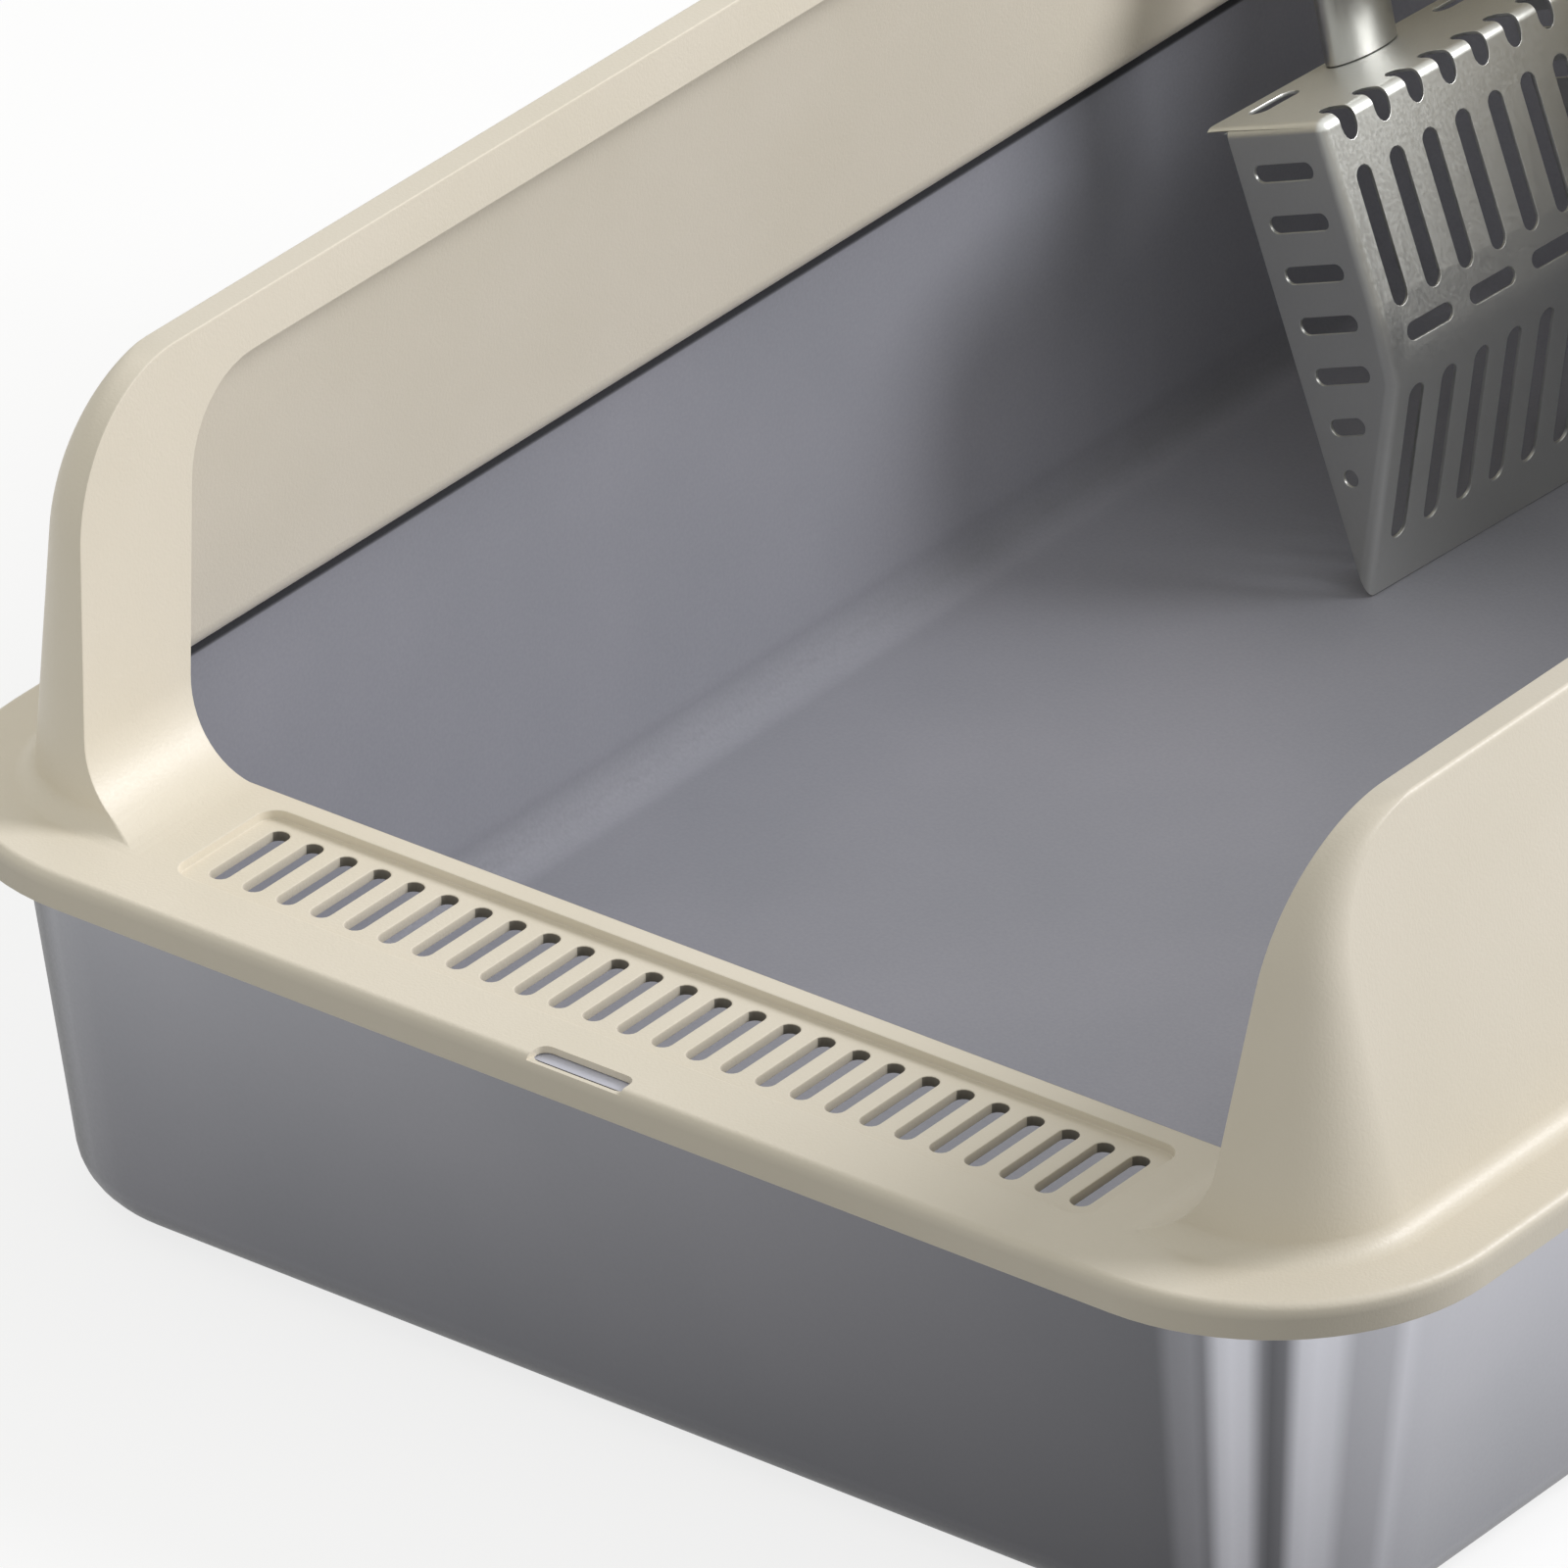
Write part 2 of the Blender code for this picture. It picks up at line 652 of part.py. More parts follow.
def scoop_slots():
    """Floor, ramp, fold and knee slots."""
    along = Vector((1, 0, 0))
    outward = Vector((0, 1, 0))
    across = Vector((0, 0, 1))
    ramp_angle = atan2(SCOOP_RAMP_DEPTH, SCOOP_RAMP_LENGTH)
    ramp_along = Vector((cos(ramp_angle), sin(ramp_angle), 0))
    ramp_outward = Vector((-sin(ramp_angle), cos(ramp_angle), 0))
    reach = SHEET * 3
    places = []
    for w in column_places():
        middle = (FLOOR_SLOT_START + FLOOR_SLOT_END) / 2
        places.append((Vector((middle, SCOOP_DEPTH, w)), along, -across, outward,
                       FLOOR_SLOT_END - FLOOR_SLOT_START, SCOOP_SLOT_WIDTH, reach))
        middle = (RAMP_SLOT_START + RAMP_SLOT_END) / 2
        places.append((ramp_along * middle + across * w, ramp_along, -across, ramp_outward,
                       RAMP_SLOT_END - RAMP_SLOT_START, SCOOP_SLOT_WIDTH, reach))
    first = SCOOP_WIDTH / 2 - KNEE_SLOT_PITCH * (KNEE_SLOT_COUNT - 1) / 2
    for column in range(KNEE_SLOT_COUNT):
        w = first + KNEE_SLOT_PITCH * column
        places.append((Vector((KNEE_SLOT_PLACE, SCOOP_DEPTH, w)), across, along, outward,
                       KNEE_SLOT_LENGTH, KNEE_SLOT_WIDTH, reach))
    return pill_cutter("floor slots", places, SLOT_END_STEPS)


def plate_slots():
    """Two slots in the back plate, one on each side of the handle."""
    through = Vector((1, 0, 0))
    down = Vector((0, 1, 0))
    across = Vector((0, 0, 1))
    d = PLATE_SLOT_RIM - SCOOP_PLATE_RISE
    places = [(Vector((SCOOP_LENGTH, d, w)), across, down, through,
               PLATE_SLOT_LENGTH, SCOOP_SLOT_WIDTH, SHEET * 3)
              for w in (PLATE_SLOT_SIDE, SCOOP_WIDTH - PLATE_SLOT_SIDE)]
    return pill_cutter("plate slots", places, SLOT_END_STEPS)


def fold_slots():
    """Short slots over the fold between floor and back plate."""
    diagonal = Vector((1, 1, 0)).normalized()
    along = Vector((-1, 1, 0)).normalized()
    across = Vector((0, 0, 1))
    places = []
    for w in column_places():
        centre = Vector((SCOOP_LENGTH, SCOOP_DEPTH, w))
        places.append((centre, along, across, diagonal, FOLD_SLOT_HALF * 2,
                       SCOOP_SLOT_WIDTH, FOLD_SLOT_REACH))
    return pill_cutter("fold slots", places, SLOT_END_STEPS)


def floor_depth(s):
    if s < SCOOP_RAMP_LENGTH:
        return SCOOP_RAMP_DEPTH * s / SCOOP_RAMP_LENGTH
    share = min((s - SCOOP_RAMP_LENGTH) / (SCOOP_KNEE - SCOOP_RAMP_LENGTH), 1.0)
    return SCOOP_RAMP_DEPTH + (SCOOP_DEPTH - SCOOP_RAMP_DEPTH) * share


def side_slots():
    """Slots in both side walls, shorter towards the tip."""
    down = Vector((0, 1, 0))
    across = Vector((0, 0, 1))
    along = Vector((1, 0, 0))
    places = []
    for column in range(SIDE_SLOT_COUNT):
        s = SIDE_SLOT_FIRST + SIDE_SLOT_PITCH * column
        low = floor_depth(s - SIDE_SLOT_WIDTH / 2) - SIDE_SLOT_FLOOR
        high = min(SIDE_SLOT_RIM, low - SIDE_SLOT_WIDTH)
        if low - high < SIDE_SLOT_WIDTH * 1.05:
            high = low - SIDE_SLOT_WIDTH * 1.05
        for w in (0.0, SCOOP_WIDTH):
            places.append((Vector((s, (low + high) / 2, w)), down, along, across,
                           low - high, SIDE_SLOT_WIDTH, SHEET * 3))
    return pill_cutter("side slots", places, SLOT_END_STEPS)


def build_bowl(holder):
    """Folded sheet: floor, ramp, two sides and a back plate, then slotted."""
    bowl = scoop_prism("scoop_bowl", 0.0, scoop_steel())
    bowl.parent = holder
    inside = scoop_prism("bowl inside", SHEET)
    for cutter in (inside, rim_trim(), scoop_slots(), plate_slots(), fold_slots(), side_slots()):
        cutter.parent = holder
        subtract(bowl, cutter)
    return bowl


def oval_ring(breadth, thickness, s):
    """An oval across the handle, its long way along w."""
    return [(s, thickness / 2 * cos(2 * pi * step / HANDLE_SIDES),
             breadth / 2 * sin(2 * pi * step / HANDLE_SIDES)) for step in range(HANDLE_SIDES)]


def build_handle(holder):
    """A straight oval tube, its foot cut to lie flat on the back plate."""
    over = HANDLE_THICKNESS
    outer = [oval_ring(HANDLE_BREADTH, HANDLE_THICKNESS, s) for s in (-over, HANDLE_LENGTH)]
    inner_breadth = HANDLE_BREADTH - 2 * SHEET
    inner_thickness = HANDLE_THICKNESS - 2 * SHEET
    inner = [oval_ring(inner_breadth, inner_thickness, s)
             for s in (-over - SHEET, HANDLE_LENGTH + SHEET)]
    handle = loft("scoop_handle", outer, handle_steel())
    bore = loft("handle bore", inner)
    reach = HANDLE_BREADTH
    foot_points = [(s, d, w) for s in (-reach * 2, TOUCH_GAP) for d in (-reach, reach)
                   for w in (-reach, reach)]
    foot_faces = [(0, 1, 3, 2), (4, 6, 7, 5), (0, 4, 5, 1), (2, 3, 7, 6), (0, 2, 6, 4), (1, 5, 7, 3)]
    foot = add_object("handle foot trim", mesh_from("handle foot trim", foot_points, foot_faces))
    foot.rotation_euler = (0.0, 0.0, -HANDLE_BEND)
    for cutter in (bore, foot):
        cutter.parent = holder
        subtract(handle, cutter)
    handle.parent = holder
    shade_smooth_by_angle(handle, FOLD_LIMIT)
    return handle


def build_plug(holder):
    """A plug pressed into the handle's open end."""
    squeeze = 2 * (SHEET + PLUG_CLEAR)
    rings = [oval_ring(HANDLE_BREADTH - squeeze, HANDLE_THICKNESS - squeeze,
                       HANDLE_LENGTH - PLUG_REACH),
             oval_ring(HANDLE_BREADTH - squeeze, HANDLE_THICKNESS - squeeze,
                       HANDLE_LENGTH + TOUCH_GAP),
             oval_ring(HANDLE_BREADTH, HANDLE_THICKNESS, HANDLE_LENGTH + TOUCH_GAP)]
    for step in range(PLUG_EDGE_STEPS + 1):
        angle = pi / 2 * step / PLUG_EDGE_STEPS
        shrink = 2 * PLUG_HEAD_EDGE * (1.0 - cos(angle))
        rings.append(oval_ring(HANDLE_BREADTH - shrink, HANDLE_THICKNESS - shrink,
                               HANDLE_LENGTH + PLUG_HEAD - PLUG_HEAD_EDGE * (1.0 - sin(angle))))
    plug = loft("scoop_end_plug", rings, plug_plastic())
    plug.parent = holder
    shade_smooth_by_angle(plug, FOLD_LIMIT)
    return plug


def build_scoop():
    """The scoop stands on its tip and leans with its handle on the left wall."""
    holder = add_empty("scoop placement", None, scoop_tip(),
                       (-pi / 2, -(pi / 2 + SCOOP_TILT), SCOOP_TURN))
    build_bowl(holder)
    root = add_empty("handle root", holder,
                     (SCOOP_LENGTH, HANDLE_ROOT, SCOOP_WIDTH / 2),
                     (0.0, 0.0, HANDLE_BEND))
    build_handle(root)
    build_plug(root)


build_pan()
build_feet()
build_guard()
build_scoop()
bpy.context.view_layer.update()
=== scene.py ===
"""Looks of a stainless steel litter box with a cream guard and a steel scoop.

Metres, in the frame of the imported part: +Z up, the entry side faces -Y.
"""
import json
from math import atan, atan2, copysign, cos, pi, radians, sin, sqrt, tan

import bmesh
import bpy
from mathutils import Matrix, Vector

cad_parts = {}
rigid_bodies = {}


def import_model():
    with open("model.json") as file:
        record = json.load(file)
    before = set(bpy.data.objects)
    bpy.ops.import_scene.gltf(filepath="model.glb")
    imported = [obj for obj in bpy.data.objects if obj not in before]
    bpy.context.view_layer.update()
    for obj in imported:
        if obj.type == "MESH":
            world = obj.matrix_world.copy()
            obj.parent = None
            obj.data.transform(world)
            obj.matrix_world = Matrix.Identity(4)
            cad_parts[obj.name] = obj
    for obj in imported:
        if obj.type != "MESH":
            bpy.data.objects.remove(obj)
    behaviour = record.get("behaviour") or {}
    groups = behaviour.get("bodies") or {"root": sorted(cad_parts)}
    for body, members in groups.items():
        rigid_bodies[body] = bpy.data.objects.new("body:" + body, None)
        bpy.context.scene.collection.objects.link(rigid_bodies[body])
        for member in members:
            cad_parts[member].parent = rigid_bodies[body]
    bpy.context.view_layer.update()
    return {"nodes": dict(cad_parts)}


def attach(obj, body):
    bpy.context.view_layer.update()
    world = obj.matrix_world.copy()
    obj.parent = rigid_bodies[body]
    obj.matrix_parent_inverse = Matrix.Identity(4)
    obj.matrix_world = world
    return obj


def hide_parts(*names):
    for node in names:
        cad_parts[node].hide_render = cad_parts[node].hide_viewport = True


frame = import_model()

# Whole box
HALF_WIDTH = 0.210
HALF_LENGTH = 0.310
RIM_CORNER = 0.060
FOOT_STAND = 0.0025
TOUCH_GAP = 0.0003
CORNER_STEPS = 18

# Steel pan, sizes of its outer side
SHEET = 0.0010
PAN_DEPTH = 0.1067
PAN_WALL_INSET = 0.0116
PAN_WALL_DROP = 0.0092
PAN_DRAFT = 0.1395
PAN_CORNER = 0.0553
PAN_BOTTOM_ROUND = 0.013
PAN_FLANGE_INSET = 0.0028
PAN_FLANGE_BEND = 0.0020
ROUND_STEPS = 8

# Guard: ledge, skirt and walls, heights counted from the top of the ledge
PLATE = 0.0018
SKIRT_DROP = 0.0092
SKIRT_WALL = 0.0022
LEDGE_EDGE_ROUND = 0.0020
WALL_RISE = 0.1005
WALL_SKIN = 0.0025
SIDE_LEDGE = 0.0190
FRONT_LEDGE = 0.0223
SIDE_LEAN = 0.1274
FRONT_LEAN = 0.147
FRONT_ROLL = 0.042
FOOT_FILLET = 0.0050
UNDER_ROUND = 0.0085
TOP_EDGE_ROUND = 0.0012
FRONT_CORNER_FOOT = 0.034
FRONT_CORNER_TOP = 0.004
BACK_CORNER_FOOT = 0.040
BACK_CORNER_TOP = 0.032
ROLL_STEPS = 22

# Guard opening, its sides fold inwards as a hanging band
OPENING_INSET = 0.0519
OPENING_LEAN = 0.1224
SILL_FILLET = 0.023
FILLET_STEPS = 14
BACK_STRIP = 0.0078
OPENING_BACK_CORNER = 0.024
SILL_DEPTH = 0.0612
BAND_DROP = 0.0130
BAND_EDGE_LEAN = 0.185
BAND_EDGE_ROUND = 0.027
HOLLOW_INSET = 0.0365
HOLLOW_BACK_REACH = 0.0055
HOLLOW_BACK_CORNER = 0.028
SKIN_CLEAR = 0.0001
CUT_REACH = 0.020
MERGE_DEPTH = 0.0012
SHARP_CORNER = 0.0005

# Grate in the sill
GRATE_INSET = 0.0800
GRATE_FRONT = 0.0180
GRATE_BACK = 0.0555
GRATE_SINK = 0.0024
GRATE_CORNER = 0.0050
GRATE_THICKNESS = 0.0029
GRATE_BORDER = 0.0020
SLOT_COUNT = 26
SLOT_WIDTH = 0.0050
SLOT_END_MARGIN = 0.0050
SLOT_FRONT = 0.0245
SLOT_BACK = 0.0512
SLOT_END_STEPS = 8

# Window over the front snap point
WINDOW_HALF = 0.0133
WINDOW_FRONT = 0.0013
WINDOW_BACK = 0.0066
WINDOW_DEPTH = 0.0040
WINDOW_LIP_DROP = 0.0013

# Scoop: s runs from the tip to the back plate, d from the rim to the floor, w across
SCOOP_BACK_DISTANCE = 0.1776
SCOOP_LEAN_GAP = 0.0005
SCOOP_TURN = radians(-3.2)
SCOOP_TILT = radians(22.0)
SCOOP_LENGTH = 0.1228
SCOOP_DEPTH = 0.0318
SCOOP_WIDTH = 0.1080
SCOOP_RAMP_LENGTH = 0.0540
SCOOP_RAMP_DEPTH = 0.0302
SCOOP_KNEE = 0.0745
SCOOP_PLATE_RISE = 0.0070
SCOOP_FOLD = 0.0030
SCOOP_FOLD_STEPS = 6
SCOOP_CUT_OVER = 0.020
FOLD_LIMIT = radians(35.0)

# Finish of the edges: how sharp an edge is softened, by how much, and what counts as one point
EDGE_LIMIT = radians(32.0)
EDGE_SOFT = 0.0005
MERGE_DISTANCE = 0.000002

# Scoop slots
SCOOP_SLOT_COLUMNS = 8
SCOOP_SLOT_PITCH = 0.01266
SCOOP_SLOT_WIDTH = 0.0056
FLOOR_SLOT_START = 0.0718
FLOOR_SLOT_END = 0.1080
RAMP_SLOT_START = 0.0143
RAMP_SLOT_END = 0.0590
FOLD_SLOT_HALF = 0.0056
FOLD_SLOT_REACH = 0.0080
KNEE_SLOT_COUNT = 4
KNEE_SLOT_PITCH = 0.0242
KNEE_SLOT_LENGTH = 0.0175
KNEE_SLOT_WIDTH = 0.0046
KNEE_SLOT_PLACE = 0.0645
PLATE_SLOT_SIDE = 0.0185
PLATE_SLOT_LENGTH = 0.0165
PLATE_SLOT_RIM = 0.0075
SIDE_SLOT_COUNT = 7
SIDE_SLOT_PITCH = 0.0132
SIDE_SLOT_FIRST = 0.0314
SIDE_SLOT_WIDTH = 0.0045
SIDE_SLOT_RIM = 0.0054
SIDE_SLOT_FLOOR = 0.0070
SIDE_SLOT_STRETCH = 1.05
CUTTER_REACH = 3 * SHEET

# Handle, an oval steel tube closed by a plug
HANDLE_BREADTH = 0.0240
HANDLE_THICKNESS = 0.0120
HANDLE_LENGTH = 0.165
HANDLE_BEND = radians(8.0)
HANDLE_ROOT_DEPTH = 0.0060
HANDLE_SIDES = 64
PLUG_CLEAR = 0.0003
PLUG_REACH = 0.012
PLUG_HEAD = 0.0035
PLUG_HEAD_EDGE = 0.0012
PLUG_EDGE_STEPS = 6

# Sizes that follow from the ones above
PAN_BOTTOM = FOOT_STAND + TOUCH_GAP
LEDGE_TOP = PAN_BOTTOM + PAN_DEPTH
FRONT = -HALF_LENGTH
BACK = HALF_LENGTH
WALL_HALF = HALF_WIDTH - SIDE_LEDGE
PAN_FLANGE_TOP = LEDGE_TOP - PLATE - TOUCH_GAP
OPENING_FOOT = HALF_WIDTH - OPENING_INSET
HOLLOW_HALF = HALF_WIDTH - HOLLOW_INSET
GRATE_HALF = HALF_WIDTH - GRATE_INSET
SLOT_PITCH = (2 * (GRATE_HALF - SLOT_END_MARGIN) - SLOT_WIDTH) / (SLOT_COUNT - 1)
HANDLE_TILT = SCOOP_TILT - HANDLE_BEND
HANDLE_ROOT = HANDLE_ROOT_DEPTH - SCOOP_PLATE_RISE


def scoop_tip():
    """The scoop's front tip corner, with its tip on the floor and its handle on the wall's lip."""
    z = PAN_BOTTOM + SHEET + TOUCH_GAP
    lip = OPENING_FOOT + OPENING_LEAN * WALL_RISE
    root_rise = cos(SCOOP_TILT) * SCOOP_LENGTH + sin(SCOOP_TILT) * HANDLE_ROOT
    root_run = sin(SCOOP_TILT) * SCOOP_LENGTH - cos(SCOOP_TILT) * HANDLE_ROOT
    rise_to_lip = LEDGE_TOP + WALL_RISE - z - root_rise
    run = root_run + tan(HANDLE_TILT) * rise_to_lip + HANDLE_THICKNESS / 2 / cos(HANDLE_TILT)
    x = -lip + SCOOP_LEAN_GAP + run * cos(SCOOP_TURN) + sin(SCOOP_TURN) * SCOOP_WIDTH / 2
    return x, BACK - SCOOP_BACK_DISTANCE, z


# Camera fitted to the photo, focus point counted from the middle of the rim's front edge
VIEW_AZIMUTH = 0.6470407
VIEW_ELEVATION = 0.5126582
VIEW_DISTANCE = 5.04646
VIEW_SHIFT_RIGHT = 0.0476360
VIEW_SHIFT_UP = 0.0651292
FOCAL_SHARE = 14.28816
SENSOR = 36.0

# One soft lamp, an even fill from the world, and a floor that bounces less than it is seen
KEY_AZIMUTH = radians(43.0)
KEY_ELEVATION = radians(37.0)
KEY_DISTANCE = 3.0
KEY_SIZE = 1.3
KEY_POWER = 68.0
KEY_COLOUR = (1.0, 1.0, 1.04)
FILL_COLOUR = (0.58, 0.575, 0.54, 1.0)
FLOOR_HALF = 6.0
FLOOR_BOUNCE = "#bcbcbc"
FLOOR_SEEN = "#ffffff"
FLOOR_LIFT = 0.8
FLOOR_ROUGHNESS = 0.9
FLOOR_CELLS = 8

# Steel of the pan, with painted reflections and shade. Painted reflection bands round a corner are
# (degrees from the end towards the side, brightness), painted shades over the round at its floor
# are (share of the round's height, brightness).
STRIPED_REFLECTIONS = ((0, 0.29), (10, 0.29), (14, 0.52), (19, 0.58), (22, 0.46), (26, 1.30),
                  (29, 1.48), (33, 1.35), (37, 0.46), (39, 0.31), (42, 0.40), (46, 1.38),
                  (50, 1.52), (55, 1.42), (60, 0.96), (70, 1.02), (75, 1.42), (80, 1.27),
                  (90, 1.26))
PLAIN_REFLECTIONS = ((0, 0.82), (24, 0.74), (33, 0.32), (54, 0.28), (72, 0.98), (90, 1.26))
CORNER_REACH = 0.055
# Painted shade towards the bottom and on the bottom edge
LOW_PAINTED_SHADE = 0.48
EDGE_LOW = 0.0050
EDGE_HIGH = 0.0125
EDGE_PAINTED_SHADE = 0.30
# Painted shade inside
INNER_PAINTED_SHADE = 0.93
INNER_DULL = 0.42
ROUND_PAINTED_SHADES = ((0.02, 1.0), (0.06, 0.92), (0.14, 0.84), (0.27, 0.77), (0.46, 0.81),
                (0.70, 0.91), (1.0, 1.0))
# Painted shadow as a dark line under the flange
FOLD_PAINTED_SHADOW = 0.22
FOLD_SHADOW_DROP = 0.0076
# Painted light on the flange
FLANGE_PAINTED_LIGHT = 1.45

# Plastic of the guard, with painted light and shade; limits are upward parts of the surface's
# direction
# Painted light towards the left, painted shade towards the right
LEFT_PAINTED_LIGHT = 1.12
RIGHT_PAINTED_SHADE = 0.88
# Painted shade on the skirt and round its corners
SKIRT_PAINTED_SHADE = 0.82
SKIRT_CORNER_PAINTED_SHADE = ((0, 1.0), (15, 0.92), (40, 0.76), (60, 0.76), (78, 0.92), (90, 1.0))
# Painted shadow in the back ends of the slots
SLOT_END_PAINTED_SHADOW = 0.30
# Painted shade on the level wall tops
TOP_PAINTED_SHADE = 0.88
# Painted light on faces turned down
UNDER_PAINTED_LIGHT = 1.12
LEVEL_LIMIT = 0.97
SKIRT_LIMITS = (0.3, 0.8)
SKIRT_TOP = (LEDGE_TOP - LEDGE_EDGE_ROUND * 2, LEDGE_TOP - LEDGE_EDGE_ROUND / 2)
UNDER_LIMITS = (-0.7, -0.15)
SLOT_END_LIMIT = -0.3
CORNER_START = 0.01

# Steel of the scoop, with painted shade on its sides and painted light on its slope
SCOOP_SIDE_PAINTED_SHADE = 0.74
SCOOP_SLOPE_PAINTED_LIGHT = 1.22
SCOOP_SIDE_LIMITS = (0.6, 0.9)
SCOOP_SLOPE_LIMITS = (-0.6, -0.3)

# Finishes: colour, the darker colour of its clouds, roughness, and how far that varies
PAN_FINISH = ("#b2b2b8", "#abacb2", 0.40, 0.03)
GUARD_FINISH = ("#e1d9c9", "#ded6c5", 0.44, 0.05)
SCOOP_FINISH = ("#dcddd7", "#d2d2cc", 0.42, 0.05)
TUBE_FINISH = ("#b4b4b1", "#aaaaa7", 0.34, 0.05)
PLUG_FINISH = ("#5a5a5c", "#545456", 0.50, 0.05)
FOOT_FINISH = ("#6e6e70", "#666668", 0.75, 0.05)

# Grain of the surfaces as drawn. The real grain is about 0.2 mm wide in the mouldings and the
# satin sheet, and the lines of a drawn tube 0.15 mm. Both are too fine to show in the render,
# so they are drawn three to five times as coarse.
PLASTIC_GRAIN = 0.0008
PLASTIC_GRAIN_DEPTH = 0.00010
PLUG_GRAIN = 0.0006
SOFT_GRAIN_DEPTH = 0.00006
STEEL_GRAIN = 0.0009
STEEL_GRAIN_DEPTH = 0.00002
TUBE_LINE_WIDTH = 0.0007
TUBE_LINE_LENGTH = 0.0050
# Slow changes of colour, 70 mm wide in the plastic and 110 mm in the steel
PLASTIC_CLOUD = 0.070
STEEL_CLOUD = 0.110
PLASTIC_TINTS = (0.35, 0.60)
STEEL_TINTS = (0.35, 0.65)
# How strongly a grain stands out, where a noise pattern's values lie, and how fine it gets
PLASTIC_RELIEF = 0.6
STEEL_RELIEF = 0.15
NOISE_RANGE = (0.3, 0.7)
NOISE_DETAIL = 3.0
FINE_DETAIL = 2.0

# Directions of the box, and in the scoop's frame along s, out along d and across along w
X_WAY, Y_WAY, Z_WAY = Vector((1, 0, 0)), Vector((0, 1, 0)), Vector((0, 0, 1))

PARTS = bpy.data.collections.new("dressed")
CUTTERS = bpy.data.collections.new("cutters")
for group in (PARTS, CUTTERS):
    bpy.context.scene.collection.children.link(group)


def linear(colour):
    """A colour written as hex, as the shader's linear values."""
    values = [int(colour[place:place + 2], 16) / 255 for place in (1, 3, 5)]
    return (*[value / 12.92 if value <= 0.04045 else ((value + 0.055) / 1.055) ** 2.4
              for value in values], 1.0)


def add_node(tree, kind, inputs=None, links=None, stops=(), **settings):
    """One shader node with its settings, ramp stops, plain inputs and incoming links."""
    node = tree.nodes.new(kind)
    for name, value in settings.items():
        setattr(node, name, value)
    for step, (position, colour) in enumerate(stops):
        elements = node.color_ramp.elements
        element = elements[step] if step < len(elements) else elements.new(position)
        element.position = position
        element.color = colour
    for name, value in (inputs or {}).items():
        node.inputs[name].default_value = value
    for name, socket in (links or {}).items():
        tree.links.new(socket, node.inputs[name])
    return node


def plain_material(name, colour, roughness, metallic):
    material = bpy.data.materials.new(name)
    material.use_nodes = True
    shader = material.node_tree.nodes["Principled BSDF"]
    shader.inputs["Base Color"].default_value = linear(colour)
    shader.inputs["Roughness"].default_value = roughness
    shader.inputs["Metallic"].default_value = metallic
    return material, material.node_tree, shader


def grey(value):
    return (value, value, value, 1.0)


def between(limits, levels):
    """Settings that turn a value between two limits into a level between two others."""
    return dict(zip(("From Min", "From Max", "To Min", "To Max"), (*limits, *levels)))


def link_surface(tree, shader, tint, bump, rough):
    """Link a surface's colour, relief and gloss to its shader."""
    for socket, output in (("Base Color", tint.outputs["Color"]),
                           ("Normal", bump.outputs["Normal"]),
                           ("Roughness", rough.outputs["Result"])):
        tree.links.new(output, shader.inputs[socket])


def moulded_plastic(name, colour, dark, roughness, spread, grain, depth):
    """Moulded plastic: a fine matte grain and a faint cloudiness of its colour."""
    material, tree, shader = plain_material(name, colour, roughness, 0.0)
    place = add_node(tree, "ShaderNodeTexCoord").outputs["Object"]
    cloud = add_node(tree, "ShaderNodeTexNoise",
                     {"Scale": 1.0 / PLASTIC_CLOUD, "Detail": NOISE_DETAIL}, {"Vector": place})
    tint = add_node(tree, "ShaderNodeValToRGB", None, {"Fac": cloud.outputs["Fac"]},
                    zip(PLASTIC_TINTS, (linear(dark), linear(colour))))
    fine = add_node(tree, "ShaderNodeTexNoise", {"Scale": 1.0 / grain, "Detail": FINE_DETAIL},
                    {"Vector": place})
    bump = add_node(tree, "ShaderNodeBump", {"Strength": PLASTIC_RELIEF, "Distance": depth},
                    {"Height": fine.outputs["Fac"]})
    rough = add_node(tree, "ShaderNodeMapRange",
                     between(NOISE_RANGE, (roughness - spread, roughness + spread)),
                     {"Value": fine.outputs["Fac"]})
    link_surface(tree, shader, tint, bump, rough)
    return material


def satin_steel(name, colour, dark, roughness, spread, grain):
    """Satin stainless steel: a fine grain as wide along X, Y and Z as given, uneven in gloss."""
    material, tree, shader = plain_material(name, colour, roughness, 1.0)
    place = add_node(tree, "ShaderNodeTexCoord").outputs["Object"]
    cloud = add_node(tree, "ShaderNodeTexNoise",
                     {"Scale": 1.0 / STEEL_CLOUD, "Detail": NOISE_DETAIL}, {"Vector": place})
    tint = add_node(tree, "ShaderNodeValToRGB", None, {"Fac": cloud.outputs["Fac"]},
                    zip(STEEL_TINTS, (linear(dark), linear(colour))))
    lines = add_node(tree, "ShaderNodeMapping", {"Scale": [1.0 / size for size in grain]},
                     {"Vector": place})
    brush = add_node(tree, "ShaderNodeTexNoise", {"Scale": 1.0, "Detail": NOISE_DETAIL},
                     {"Vector": lines.outputs["Vector"]})
    bump = add_node(tree, "ShaderNodeBump",
                    {"Strength": STEEL_RELIEF, "Distance": STEEL_GRAIN_DEPTH},
                    {"Height": brush.outputs["Fac"]})
    rough = add_node(tree, "ShaderNodeMapRange",
                     between(NOISE_RANGE, (roughness - spread, roughness + spread)),
                     {"Value": brush.outputs["Fac"]})
    link_surface(tree, shader, tint, bump, rough)
    return material


